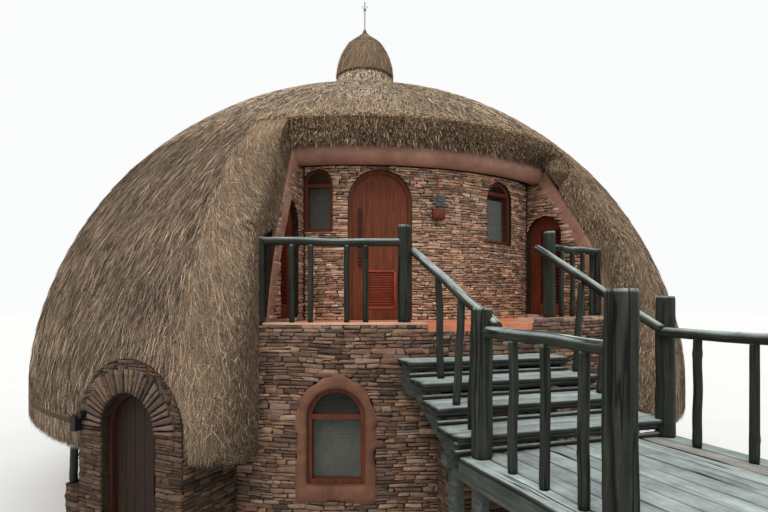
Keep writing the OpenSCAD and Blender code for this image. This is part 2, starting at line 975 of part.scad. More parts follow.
panel_w = 440;
panel_h = 530;
panel_z = 190;
door_face = -niche_r + 40 + (frame_d - leaf_t) / 2;

// Sloping slats that fill a hole of a leaf from edge to edge.
module louvre_slats(w, h, pitch, depth) {
    count = floor(h / pitch);
    for (i = [0 : count - 1])
        translate([0, depth / 2, (i + 0.5) * h / count])
            rotate([-40, 0, 0])
                translate([-w / 2, -depth * 0.55, -4])
                    cube([w, depth * 1.1, 8]);
}

module main_door() {
    leaf_w = main_door_w - 2 * frame_w;
    at_angle(main_door_a)
        translate([0, door_face, terrace_z]) {
            color([0.45, 0.19, 0.1]) {
                difference() {
                    arch_prism(leaf_w, main_door_h - frame_w, 0, leaf_t);
                    translate([-panel_w / 2, -eps, panel_z])
                        cube([panel_w, leaf_t + 2 * eps, panel_h]);
                    for (x = [-0.75 : 0.25 : 0.75])
                        translate([x * leaf_w / 2 - 2, -eps, 0])
                            cube([4, 4 + eps, far]);
                }
                translate([0, 0, panel_z])
                    louvre_slats(panel_w, panel_h, 58, leaf_t);
            }
            translate([-main_door_w / 2 + 175, -45, 800])
                long_pull(860);
        }
}

// A dark pole of a pull on two pegs.
module long_pull(h) {
    color([0.2, 0.12, 0.08]) {
        cylinder(r = 19, h = h, $fn = 24);
        for (z = [120, h - 120])
            translate([0, 0, z])
                rotate([-90, 0, 0])
                    cylinder(r = 12, h = 55, $fn = 24);
    }
}

// A fixed round-headed door in each side wall, with slats beside one wide stile.
module louvre_doors() {
    slats_x = -louvre_door_w / 2 + wide_stile;
    slats_w = louvre_door_w - wide_stile - 65;
    slats_z = 190;
    slats_h = 1240;
    door_d = 90;
    color([0.42, 0.18, 0.11])
        for (s = [0, 1])
            at_cheek(s)
                translate([raker_t - raker_proud + 7, -louvre_us[s], louvre_z])
                    rotate([0, 0, -90]) {
                        difference() {
                            arch_prism(louvre_door_w, louvre_door_h, 0, door_d);
                            translate([slats_x, -eps, slats_z])
                                cube([slats_w, door_d + 2 * eps, slats_h]);
                        }
                        translate([slats_x + slats_w / 2, 10, slats_z])
                            louvre_slats(slats_w, slats_h, 54, 45);
                    }
}

// The head of the left window is boarded, and that of the right one has glass.
module upper_window_frames() {
    color([0.38, 0.17, 0.1])
        for (i = [0, 1])
            at_angle(window_as[i])
                translate([0, upper_frame_y, terrace_z + window_sills[i]])
                    window_frame(window_ws[i], window_hs[i], window_transoms[i], i == 1);
}

// A flared shade hangs from a bent arm over a small clay box.
module wall_lamp() {
    stand = 75;
    color([0.3, 0.17, 0.12])
        at_angle(1.5) {
            translate([-95, -niche_r - 95, terrace_z + 1520])
                cube([190, 95, 140]);
            translate([0, -niche_r - stand, terrace_z + 1740])
                cylinder(r1 = 20, r2 = 70, h = 75, $fn = 32);
            translate([0, -niche_r - stand, terrace_z + 1660])
                cylinder(r = 9, h = 500, $fn = 24);
            translate([0, -niche_r - stand - 9, terrace_z + 2150])
                rotate([-90, 0, 0])
                    cylinder(r = 9, h = stand + 9, $fn = 24);
            translate([0, -niche_r - 10, terrace_z + 2150])
                rotate([-90, 0, 0])
                    cylinder(r = 35, h = 10, $fn = 32);
        }
}

// Thatch

// The dome sweeps up to the cap in a short hollow curve.
function collar_pts() =
    let (p = outer_pt(collar_a), q = [collar_r, collar_z])
    concat(
        [for (t = [0.2 : 0.2 : 1])
            [p[0] + (q[0] - p[0]) * sin(90 * t), p[1] + (q[1] - p[1]) * (1 - cos(90 * t))]],
        [[cap_seat_r - seat, cap_seat_z], [0, cap_seat_z]]
    );

module thatch_crown() {
    color([0.5, 0.43, 0.35])
        rotate_extrude($fn = 360)
            polygon(concat(
                [for (p = brow_cut) p + seat * [-1, 0.45]],
                [for (i = [1 : profile_steps]) outer_pt(lip_a + (collar_a - lip_a) * i / profile_steps)],
                collar_pts(),
                [for (i = [3 : -1 : 0]) crown_inner[i]]
            ));
}

eave_a = asin((eave_top - dome_z) / dome_h);
outer_path = concat(
    [for (i = [0 : 4]) eave_pt(90 - i * 22.5)],
    [for (i = [1 : profile_steps]) outer_pt(eave_a + (lip_a - eave_a) * i / profile_steps)]
);
inner_path = concat(skirt_inner, [[inner_rr, eave_z]]);

module skirt(a1, a2) {
    color([0.45, 0.38, 0.31])
        sector(a1, a2)
            polygon(concat(outer_path, [for (i = [3 : -1 : 1]) brow_cut[i]], inner_path));
}

porch_clear = 20;

// The thatch is cut round the porch and its side pier.
module porch_notch() {
    at_porch()
        translate([0, 0, -eps])
            upright(-far / 2, far / 4) {
                arch_2d(2 * (porch_half + porch_clear), porch_spring + porch_half + porch_clear + eps);
                translate([-porch_half - side_pier_w - porch_clear, 0])
                    square([porch_half, side_pier_h + 200]);
            }
}

module thatch_left() {
    difference() {
        skirt(250, 360 - skirt_start);
        porch_notch();
    }
}

module thatch_back() {
    skirt(110, 250);
}

module thatch_right() {
    skirt(skirt_start, 110);
}

// The rounded edge of the thatch at each side of the niche, lofted from upright
// sections. Each section takes the same path as the skirt's outline.
fade_z = shelf_top + (brow_z - shelf_top) / 3;
function verge_fade(z) =
    z < fade_z ? 1 : z > brow_z ? 0 : cos(90 * (z - fade_z) / (brow_z - fade_z));
function verge_out_r(s, z) =
    max(verge_in_r(s, z), verge_in_r(s, terrace_z) - max(0, z - shelf_z) * 0.8);
function drawn_in(p, r, share) = [p[0] - (p[0] - r) * share * verge_fade(p[1]), p[1]];
verge_gap = seat * [3, -1.3];
function verge_section(s, t) =
    concat(
        [for (i = [0 : len(outer_path) - 2])
            let (p = outer_path[i])
            drawn_in(p, verge_out_r(s, p[1]), verge_cut * (1 - cos(t)))],
        [for (i = [4 : -1 : 0]) brow_cut[i] + verge_gap],
        [for (i = [1 : len(inner_path) - 1])
            let (p = inner_path[i])
            drawn_in(p, verge_in_r(s, p[1]), sin(t))]
    );

module verge(s) {
    steps = 9;
    side = s == 0 ? -1 : 1;
    ts = [for (i = [0 : steps]) 90 * i / steps];
    sections = [for (t = ts) verge_section(s, t)];
    m = len(sections[0]);
    pts = [for (i = [0 : steps])
        let (a = side * (skirt_start - verge_a * sin(ts[i])))
        for (p = sections[i]) [p[0] * sin(a), -p[0] * cos(a), p[1]]];
    quads = [for (i = [0 : steps - 1])
        for (j = [0 : m - 1])
            let (k = (j + 1) % m)
            each [[i * m + j, i * m + k, (i + 1) * m + k], [i * m + j, (i + 1) * m + k, (i + 1) * m + j]]];
    first = [[for (j = [m - 1 : -1 : 0]) j]];
    last = [[for (j = [0 : m - 1]) steps * m + j]];
    faces = concat(quads, first, last);
    polyhedron(
        points = pts,
        faces = side < 0 ? faces : [for (f = faces) [for (i = [len(f) - 1 : -1 : 0]) f[i]]],
        convexity = 8
    );
}

module thatch_verges() {
    color([0.52, 0.44, 0.33]) {
        verge(1);
        difference() {
            verge(0);
            porch_notch();
        }
    }
}

// The cap is a bell of its own, seated over the top of the dome.
module thatch_cap() {
    swell = cap_h - 130;
    rim = 25;
    color([0.5, 0.42, 0.32])
        rotate_extrude($fn = 120)
            polygon(concat(
                [[0, cap_seat_z], [cap_seat_r, cap_seat_z], [cap_r - rim, cap_z]],
                [for (t = [0.03 : 0.1 : 0.93]) [cap_r * pow(1 - t * t, 0.65), cap_z + swell * t]],
                [[105, cap_z + swell - 5], [50, cap_z + swell + 50]],
                [[22, cap_z + cap_h], [0, cap_z + cap_h]]
            ));
}

module spike() {
    rod_r = 12;
    ball_z = spike_h - 170;
    color([0.35, 0.35, 0.36])
        translate([0, 0, cap_z + cap_h]) {
            cylinder(r = rod_r, h = spike_h, $fn = 32);
            translate([0, 0, ball_z])
                sphere(r = 30, $fn = 32);
            for (a = [0, 180])
                rotate([0, 0, a - 17])
                    translate([0, 0, ball_z])
                        rotate([0, 38, 0])
                            cylinder(r = 6, h = 110, $fn = 16);
        }
}

// Stair and deck

// The house wall, and the newels at the foot of the stair, with their clearance.
module clear_of_house() {
    disc(wall_r + seat, -eps, far);
    at_deck()
        for (p = [deck_posts[0], deck_posts[1]])
            translate([p[0], -p[1], 0])
                cylinder(d = p[2] + 2 * seat, h = far, $fn = 64);
}

module stair_pier() {
    color([0.5, 0.41, 0.34])
        difference() {
            translate([pier_sides[0], -pier_s, 0])
                cube([pier_sides[1] - pier_sides[0], pier_s - wall_r / 2, pier_z]);
            clear_of_house();
        }
}

// Sawtooth bearers run from the wall over the pier to a sill beam behind the deck.
module bearer_2d() {
    last = treads - 1;
    sill_w = 140;
    polygon(concat(
        [[wall_r - 200, under_bearer(pier_s)], [wall_r - 200, tread_z(0) - tread_t]],
        [for (i = [0 : last])
            each [[riser_face(i), tread_z(i) - tread_t],
                  [riser_face(i), i < last ? tread_z(i + 1) - tread_t : deck_z]]],
        [[sill_s + sill_w, deck_z], [sill_s + sill_w, sill_z], [sill_s, sill_z],
         [pier_s, under_bearer(pier_s)]]
    ));
}

bearer_xs = [stair_left + 70, (stair_left + stair_right) / 2, stair_right - 88];

module stair_bearers() {
    sill_h = 120;
    color([0.2, 0.22, 0.21])
        difference() {
            union() {
                for (x = bearer_xs)
                    stair_slab(x, x + bearer_t)
                        bearer_2d();
                translate([stair_left + 20, -sill_s - 140, sill_z - sill_h])
                    cube([stair_right - stair_left - 20, 110, sill_h]);
            }
            clear_of_house();
        }
}

function tread_right(i) = stair_right + stair_flare * i;

// Each tread is two planks, side by side.
module stair_treads() {
    plank_gap = 8;
    plank = (tread_depth - plank_gap) / 2;
    color([0.5, 0.55, 0.53])
        difference() {
            for (i = [0 : treads - 1])
                for (k = [0, 1])
                    translate([stair_left, -nose(i) + k * (plank + plank_gap), tread_z(i) - tread_t])
                        cube([tread_right(i) - stair_left, plank, tread_t]);
            clear_of_house();
        }
}

// Two logs stand in each gap between the treads, one up under the nose, one below.
module riser_logs() {
    color([0.27, 0.31, 0.3])
        difference() {
            for (i = [0 : treads - 1])
                for (z = [tread_z(i) - tread_t - log_d / 2 - seat, tread_z(i + 1) + log_d / 2 + seat])
                    translate([stair_left + 25, -nose(i) + log_in, z])
                        rotate([0, 90, 0])
                            cylinder(d = log_d, h = tread_right(i) - stair_left - 60, $fn = 24);
            clear_of_house();
        }
}

module posts() {
    color([0.24, 0.28, 0.26]) {
        at_deck()
            for (p = deck_posts)
                translate([p[0], -p[1], deck_z])
                    cylinder(d = p[2], h = deck_post_hs[p[3]], $fn = 48);
        for (s = [0, 1]) {
            translate(lift(newels[s], terrace_z + coping_hs[s] + bed))
                cylinder(d = newel_d, h = newel_h - coping_hs[s] - bed, $fn = 40);
            translate(lift(corner_posts[s], terrace_z + post_foot(s) + bed))
                cylinder(d = slim_post_d, h = corner_post_h - post_foot(s) - bed, $fn = 40);
        }
    }
}

// The left corner post stands on the wall beside the end of the coping.
function post_foot(s) = s == 0 ? 0 : coping_hs[1];

// Centre lines of the rails, as pairs of points.
stair_rail_x = newels[0][0] + newel_d / 2 + rail_d / 2 - 5;
left_newel = deck_pt(left_post_x, -95);
right_newel = deck_pt(right_post_x, 13);
big_post = deck_pt(left_post_x, deck_bay - 105);
rails = [
    [lift(corner_posts[0], rail_z), lift(newels[0], rail_z)],
    [lift(newels[1], rail_z), lift(corner_posts[1], rail_z)],
    [[stair_rail_x, newels[0][1] + 40, terrace_z + newel_h - 320],
     [stair_rail_x, left_newel[1] - 140, left_rail_z + 50]],
    [[newels[1][0] - 130, newels[1][1] + 110, terrace_z + newel_h - 225],
     lift(right_newel - [115, 70], right_rail_z + 25)],
    [lift(left_newel, left_rail_z), lift(big_post, left_rail_z - 20)],
    [lift(right_newel - [88, 0], right_rail_z),
     lift(deck_pt(right_post_x, 13 + 2 * deck_bay) - [88, 0], right_rail_z)]
];

module handrails() {
    color([0.36, 0.41, 0.41])
        difference() {
            for (r = rails)
                pole(r[0], r[1], rail_d);
            posts();
        }
}

// Where a rail crosses a direction from the axis, or a distance from the house.
function at_direction(r, a) =
    let (
        e = [sin(a), -cos(a)],
        v = r[1] - r[0],
        t = (r[0][1] * e[0] - r[0][0] * e[1]) / (v[0] * e[1] - v[1] * e[0])
    )
    r[0] + t * v;
function at_distance(r, y) = r[0] + (r[1] - r[0]) * (y - r[0][1]) / (r[1][1] - r[0][1]);

left_stakes = [-24.9, -22.4, -17.4, -14.75];
right_stakes = [17.5, 20.5, 23.4, 26.1];

module terrace_stakes(s, angles) {
    for (a = angles) {
        top = at_direction(rails[s], a);
        stake([top[0], top[1]], terrace_z + coping_hs[s], top, baluster_d - 8);
    }
}

// Stakes under a rail, each from its own place on a tread or the deck.
module run_of_stakes(r, feet) {
    for (f = feet)
        stake([f[0], f[1]], f[2], at_distance(r, f[1]), baluster_d);
}

module balusters() {
    color([0.24, 0.28, 0.26])
        difference() {
            union() {
                terrace_stakes(0, left_stakes);
                terrace_stakes(1, right_stakes);
                run_of_stakes(rails[2], [
                    [stair_rail_x + 30, -nose(0) - 85, tread_z(1)],
                    [stair_rail_x - 60, -nose(1) - 285, tread_z(2)],
                    [stair_rail_x - 35, -nose(2) - 175, tread_z(3)]
                ]);
                run_of_stakes(rails[3], [
                    [newels[1][0] - 170, -nose(0) - 85, tread_z(1)],
                    [newels[1][0] - 190, -nose(1) - 135, tread_z(2)]
                ]);
                run_of_stakes(rails[4], [for (s = [360, 745, 1140])
                    lift(deck_pt(left_post_x - 5, s), deck_z)]);
                run_of_stakes(rails[5], [for (s = [430, 950, 1350, 2100, 2600])
                    lift(deck_pt(right_post_x - 95, s), deck_z)]);
            }
            handrails();
            posts();
        }
}

module deck_boards() {
    pitch = (deck_right - deck_left + board_gap) / boards;
    color([0.5, 0.55, 0.53])
        at_deck()
            for (i = [0 : boards - 1])
                translate([deck_left + i * pitch, deck_back - deck_len, deck_z - board_t])
                    cube([pitch - board_gap, deck_len, board_t]);
}

// Beams under the boards, on legs at both sides, and two legs under the stair's sill.
module deck_frame() {
    beam_z = deck_z - board_t - deck_beam_h;
    beam_gap = deck_len - deck_beam_w;
    color([0.42, 0.46, 0.44]) {
        at_deck() {
            for (x = [deck_left, deck_right - deck_beam_w])
                translate([x, deck_back - deck_len, beam_z])
                    cube([deck_beam_w, deck_len, deck_beam_h]);
            for (k = [0 : 3])
                translate([deck_left + deck_beam_w, deck_back - k * beam_gap / 3 - deck_beam_w, beam_z])
                    cube([deck_right - deck_left - 2 * deck_beam_w, deck_beam_w, deck_beam_h]);
            for (x = [deck_left + 110, deck_right - 110])
                for (s = [180, deck_len / 2, deck_len - 180])
                    translate([x, deck_back - s, 0])
                        cylinder(d = leg_d, h = beam_z, $fn = 32);
        }
        for (x = [stair_left + 150, stair_right - 130])
            translate([x, -sill_s - 85, 0])
                cylinder(d = leg_d, h = sill_z - 120, $fn = 32);
    }
}

ground_floor_slab();
lower_wall_front();
lower_wall_right();
lower_wall_back();
lower_wall_left();
lower_wall_over_door();
porch_walls();
porch_arch();
porch_arch_stones();
porch_post();
porch_lamp();
ground_door_frame();
ground_door();
lower_window_surround();
lower_window_frame();
window_glass();
upper_floor();
terrace_floor();
terrace_coping();
niche_back_wall();
cheek_walls();
knee_wall();
main_door_frame();
main_door();
louvre_doors();
upper_window_frames();
wall_lamp();
ring_beam();
raker_beams();
thatch_crown();
thatch_left();
thatch_back();
thatch_right();
thatch_verges();
thatch_cap();
spike();
stair_pier();
stair_bearers();
stair_treads();
riser_logs();
posts();
handrails();
balusters();
deck_boards();
deck_frame();
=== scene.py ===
import bpy
from math import atan2, copysign, cos, hypot, pi, radians as rad, sin, sqrt
import numpy as np
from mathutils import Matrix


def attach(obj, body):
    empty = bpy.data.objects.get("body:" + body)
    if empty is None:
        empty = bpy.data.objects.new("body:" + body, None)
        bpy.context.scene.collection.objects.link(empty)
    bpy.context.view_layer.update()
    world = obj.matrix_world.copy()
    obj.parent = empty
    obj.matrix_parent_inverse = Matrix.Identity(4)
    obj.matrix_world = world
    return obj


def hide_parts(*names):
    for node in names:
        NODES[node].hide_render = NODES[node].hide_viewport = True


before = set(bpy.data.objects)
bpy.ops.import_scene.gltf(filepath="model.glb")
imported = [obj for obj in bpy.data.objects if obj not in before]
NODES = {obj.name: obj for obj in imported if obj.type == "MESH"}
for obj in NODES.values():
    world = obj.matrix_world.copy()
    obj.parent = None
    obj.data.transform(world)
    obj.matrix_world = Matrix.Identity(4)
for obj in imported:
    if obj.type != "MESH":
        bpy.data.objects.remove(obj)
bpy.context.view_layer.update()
rng = np.random.default_rng(11)
M = {}      # the materials, by name


# ------------ camera, as solved from the photo
EYE = (-2.95, -11.12, 3.3)
VIEW_TURN = rad(-17)
SENSOR, LENS = 36.0, 24.0
SHIFT = 44.0 / 768.0


def added(name, data):
    ob = bpy.data.objects.new(name, data)
    bpy.context.scene.collection.objects.link(ob)
    return ob


cam = added("camera", bpy.data.cameras.new("camera"))
cam.data.sensor_width = SENSOR
cam.data.lens = LENS
cam.data.shift_y = SHIFT
cam.data.clip_end = 500.0
cam.location = EYE
cam.rotation_euler = (rad(90), 0, VIEW_TURN)
bpy.context.scene.camera = cam
bpy.context.scene.view_settings.view_transform = "Standard"


# ------------ small tools
def srgb(r, g, b):
    """A colour of 0 to 255 as linear light."""
    v = np.array([r, g, b], float) / 255
    return tuple(float(x) for x in np.where(v <= 0.04045, v / 12.92, ((v + 0.055) / 1.055) ** 2.4))


def wander(p, freq, seed, n=5):
    """A smooth value of about -1 to 1 that wanders over the points."""
    r = np.random.default_rng(seed)
    k = r.normal(size=(n, 3)) * freq
    return np.sin(np.asarray(p) @ k.T + r.uniform(0, 6.28, n)).mean(1) * 1.5


def rise(x, start, run, low=0.0, high=1.0):
    """Grows with x, by one over a run from the start, and is held between low and high."""
    return np.clip((x - start) / run, low, high)


def unit(v):
    return v / np.maximum(np.linalg.norm(v, axis=-1, keepdims=True), 1e-9)


def polar(v):
    """How far points are from the dome's axis, and their angle from the front."""
    return np.hypot(v[..., 0], v[..., 1]), np.arctan2(v[..., 0], -v[..., 1])


def about(a, x, y, z):
    """A point turned about the dome's axis. The front is -y."""
    return (x * cos(a) - y * sin(a), x * sin(a) + y * cos(a), z)


def build(name, verts, faces, material, slot, tint, grain=None, smooth=False, replaces=()):
    """A mesh piece that rides on the house, with nothing under the floor. faces is a list of arrays."""
    loops = np.concatenate([f.ravel() for f in faces]).astype(np.int32)
    sizes = np.concatenate([np.full(len(f), f.shape[1]) for f in faces])
    verts = np.array(verts, np.float32)
    verts[:, 2] = np.maximum(verts[:, 2], 0.0)
    me = bpy.data.meshes.new(name)
    me.vertices.add(len(verts))
    me.vertices.foreach_set("co", verts.ravel())
    me.loops.add(len(loops))
    me.loops.foreach_set("vertex_index", loops)
    me.polygons.add(len(sizes))
    me.polygons.foreach_set("loop_start", (np.cumsum(sizes) - sizes).astype(np.int32))
    me.update(calc_edges=True)
    if smooth:
        me.polygons.foreach_set("use_smooth", np.ones(len(sizes), bool))
    rgba = np.ones((len(verts), 4), np.float32)
    rgba[:, :3] = tint
    me.color_attributes.new("tint", "FLOAT_COLOR", "POINT").data.foreach_set("color", rgba.ravel())
    if grain is not None:
        me.attributes.new("grain", "FLOAT_VECTOR", "POINT").data.foreach_set(
            "vector", np.asarray(grain, np.float32).ravel())
    me.materials.append(M[material])
    ob = added(name, me)
    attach(ob, "house")
    if replaces:
        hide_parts(*replaces)


class Heap:
    """Collects many small closed shapes into one mesh."""

    def __init__(self):
        self.v, self.f4, self.f3, self.t, self.g, self.n = [], [], [], [], [], 0

    def add(self, verts, quads, tris=(), tint=(1, 1, 1), grain=None):
        verts = np.asarray(verts, float)
        self.v.append(verts)
        self.f4.append(np.asarray(quads) + self.n)
        if len(tris):
            self.f3.append(np.asarray(tris) + self.n)
        self.t.append(np.broadcast_to(np.asarray(tint, float), (len(verts), 3)))
        self.g.append(verts if grain is None else grain)
        self.n += len(verts)

    def make(self, name, material, slot, **more):
        faces = [np.concatenate(f) for f in (self.f4, self.f3) if f]
        build(name, np.concatenate(self.v), faces, material, slot, np.concatenate(self.t),
              np.concatenate(self.g), **more)


def sweep(heap, rings, tint=(1, 1, 1), grain=None):
    """Skin over rings of points, capped at both ends."""
    rings = np.asarray(rings, float)
    k, m = rings.shape[:2]
    i, j = np.arange(k - 1)[:, None] * m, np.arange(m)
    jn, end = (j + 1) % m, (k - 1) * m
    quads = np.stack([i + j, i + jn, i + m + jn, i + m + j], -1).reshape(-1, 4)
    tris = np.vstack([np.column_stack([jn, j, np.full(m, k * m)]),
                      np.column_stack([end + j, end + jn, np.full(m, k * m + 1)])])
    if grain is not None:
        grain = np.vstack([grain, grain[:m].mean(0), grain[-m:].mean(0)])
    heap.add(np.vstack([rings.reshape(-1, 3), rings[0].mean(0), rings[-1].mean(0)]),
             quads, tris, tint, grain)


# ------------ materials
class Nodes:
    """A tree of shader nodes. Each input takes a value, or the output of another node."""

    def __init__(self, tree):
        self.tree = tree

    def node(self, kind, ins=None, **attrs):
        n = self.tree.nodes.new("ShaderNode" + kind)
        for k, v in attrs.items():
            setattr(n, k, v)
        for k, v in (ins or {}).items():
            if isinstance(v, bpy.types.NodeSocket):
                self.tree.links.new(v, n.inputs[k])
            else:
                n.inputs[k].default_value = v
        return n

    def math(self, op, a, b):
        return self.node("Math", {0: a, 1: b}, operation=op).outputs[0]

    def ramp(self, fac, *stops):
        """Each stop is a place and a colour, or a place and one number for a grey."""
        n = self.node("ValToRGB", {"Fac": fac})
        marks = n.color_ramp.elements
        while len(marks) < len(stops):
            marks.new(0.5)
        for mark, (place, col) in zip(marks, stops):
            mark.position = place
            mark.color = (*(col if np.ndim(col) else (col,) * 3), 1)
        return n.outputs[0]


class Mat(Nodes):
    """A material that is kept in M under its name when it is finished."""

    def __init__(self, name, rough, spec, metal=0.0):
        self.name, self.m = name, bpy.data.materials.new(name)
        self.m.use_nodes = True
        super().__init__(self.m.node_tree)
        self.shader = self.tree.nodes["Principled BSDF"].inputs
        self.shader["Roughness"].default_value = rough
        self.shader["Specular IOR Level"].default_value = spec
        self.shader["Metallic"].default_value = metal
        self.at = self.node("TexCoord").outputs["Object"]

    def attr(self, name, out):
        return self.node("Attribute", attribute_name=name).outputs[out]

    def mapping(self, vec, scale=(1, 1, 1), turn=0.0):
        return self.node("Mapping", {"Vector": vec, "Scale": scale, "Rotation": (0, 0, turn)}).outputs[0]

    def noise(self, vec, scale, detail, rough=0.6, distort=0.0):
        return self.node("TexNoise", {"Vector": vec, "Scale": scale, "Detail": detail,
                                      "Roughness": rough, "Distortion": distort}).outputs[0]

    def mix(self, a, b, amount, blend="MIX"):
        return self.node("Mix", {0: amount, 6: a, 7: b}, data_type="RGBA", blend_type=blend).outputs[2]

    def shade(self, col, fac, low, high, amount=1.0):
        """Darkens and lightens a colour by a ramp."""
        return self.mix(col, self.ramp(fac, low, high), amount, "MULTIPLY")

    def tones(self, fac, places, colours):
        """A ramp of colours that are given as 0 to 255."""
        return self.ramp(fac, *[(p, srgb(*c)) for p, c in zip(places, colours)])

    def bump(self, height, strength, dist, under=None):
        ins = {"Height": height, "Strength": strength, "Distance": dist}
        if under is not None:
            ins["Normal"] = under
        return self.node("Bump", ins).outputs[0]

    def finish(self, color, normal, rough=None):
        for name, out in (("Base Color", color), ("Normal", normal), ("Roughness", rough)):
            if out is not None:
                self.tree.links.new(out, self.shader[name])
        M[self.name] = self.m


k = Mat("straw", 0.85, 0.15)
n = k.noise(k.at, 60, 3)
k.finish(k.shade(k.attr("tint", "Color"), n, (0.3, (0.55, 0.52, 0.5)), (0.7, 1.2)), k.bump(n, 0.4, 0.004))

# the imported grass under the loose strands, streaked down the slope
k = Mat("thatch_bed", 0.95, 0.1)
x, y, z = k.node("SeparateXYZ", {"Vector": k.at}).outputs
slope = k.node("CombineXYZ", {"X": k.math("MULTIPLY", k.math("ARCTAN2", x, y), 60.0),
                              "Y": k.math("MULTIPLY", z, 3.0)}).outputs[0]
streak = k.noise(slope, 1.6, 6, 0.7)
col = k.tones(streak, (0.3, 0.55, 0.8), ((48, 40, 33), (92, 78, 62), (140, 122, 95)))
col = k.shade(col, k.noise(k.at, 1.3, 3), (0.35, (0.6, 0.58, 0.56)), (0.65, (1.15, 1.12, 1.05)), 0.7)
k.finish(col, k.bump(k.noise(k.at, 55, 4, 0.7), 0.6, 0.02, k.bump(streak, 0.8, 0.05)))

k = Mat("ledge_stone", 0.88, 0.25)
big = k.noise(k.mapping(k.at, (1, 1, 3)), 9, 5, 0.65)
fine = k.noise(k.at, 70, 6, 0.7)
beds = k.noise(k.mapping(k.at, (3, 3, 26)), 4, 4)
col = k.shade(k.attr("tint", "Color"), big, (0.3, (0.58, 0.56, 0.55)), (0.7, (1.25, 1.22, 1.16)))
col = k.shade(col, fine, (0.38, (0.6, 0.57, 0.55)), (0.6, 1.08), 0.75)
k.finish(col, k.bump(fine, 0.7, 0.006, k.bump(beds, 0.5, 0.012)), k.ramp(fine, (0.3, 0.75), (0.7, 0.98)))

# the deep joints between the stones
k = Mat("stone_joint", 0.95, 0.1)
n = k.noise(k.at, 14, 6, 0.7)
k.finish(k.tones(n, (0.3, 0.7), ((22, 17, 14), (70, 56, 46))), k.bump(n, 0.8, 0.02))

k = Mat("window_glass", 0.12, 0.3)
n = k.noise(k.at, 3, 3)
k.shader["Alpha"].default_value = 0.16
k.finish(k.tones(n, (0.3, 0.7), ((60, 62, 58), (92, 94, 90))), k.bump(n, 0.04, 0.01))


def plaster(name, dark, mid, light, rough=0.75, tinted=False):
    """Hand-smoothed plaster: soft clouds, trowel waves, fine grain and a little wear."""
    k = Mat(name, rough, 0.3)
    wave = k.noise(k.mapping(k.at, (1, 1, 2.2)), 7, 3, 0.5, 0.4)
    fine = k.noise(k.at, 120, 5, 0.7)
    col = k.tones(k.noise(k.at, 1.7, 5, 0.6, 0.6), (0.3, 0.5, 0.72), (dark, mid, light))
    col = k.shade(col, wave, (0.3, (0.82, 0.8, 0.79)), (0.7, 1.1), 0.8)
    col = k.shade(col, fine, (0.3, (0.85, 0.84, 0.83)), (0.6, 1.05), 0.6)
    if tinted:
        col = k.mix(col, k.attr("tint", "Color"), 1.0, "MULTIPLY")
    k.finish(col, k.bump(fine, 0.25, 0.002, k.bump(wave, 0.35, 0.02)),
             k.ramp(wave, (0.2, rough - 0.12), (0.8, rough + 0.12)))


plaster("mauve_plaster", (128, 92, 78), (150, 112, 96), (170, 132, 114))
plaster("ochre_plaster", (84, 54, 40), (110, 74, 55), (134, 95, 73), tinted=True)
plaster("lip_plaster", (176, 140, 120), (200, 164, 142), (216, 184, 162))
plaster("orange_screed", (182, 108, 78), (202, 126, 94), (218, 144, 110), 0.6)


def wood(name, dark, mid, light, rough, axis=2):
    """Planed and oiled timber with its grain along an axis."""
    def along(s):
        return tuple(s if i == axis else 1.0 for i in range(3))
    k = Mat(name, rough, 0.22)
    grain = k.noise(k.mapping(k.at, along(0.06)), 34, 7, 0.65, 1.2)
    fibre = k.noise(k.mapping(k.at, along(0.03)), 210, 4)
    col = k.tones(grain, (0.25, 0.5, 0.75), (dark, mid, light))
    col = k.shade(col, fibre, (0.35, (0.72, 0.7, 0.68)), (0.6, 1.08), 0.7)
    col = k.shade(col, k.noise(k.at, 1.4, 3), (0.3, (0.75, 0.74, 0.72)), (0.7, (1.15, 1.14, 1.12)), 0.6)
    k.finish(col, k.bump(fibre, 0.21, 0.002, k.bump(grain, 0.35, 0.006)),
             k.ramp(grain, (0.2, rough - 0.1), (0.8, rough + 0.18)))


wood("mahogany", (76, 34, 17), (106, 53, 29), (134, 74, 42), 0.46)
wood("frame_timber", (62, 28, 15), (90, 43, 23), (118, 62, 36), 0.55)
wood("dark_door", (22, 13, 8), (38, 24, 15), (56, 37, 23), 0.6)
# the ground door's frame: a darkened copy of the louvre timber, painted shade of the porch
wood("porch_frame_painted_shade", (34, 16, 9), (52, 25, 15), (72, 38, 24), 0.6)
wood("louvre_timber", (62, 26, 14), (92, 40, 22), (120, 60, 36), 0.55)
wood("red_slat", (112, 44, 28), (148, 64, 42), (172, 86, 60), 0.55, axis=0)
wood("turned_pull", (26, 15, 10), (44, 24, 15), (70, 40, 26), 0.35)


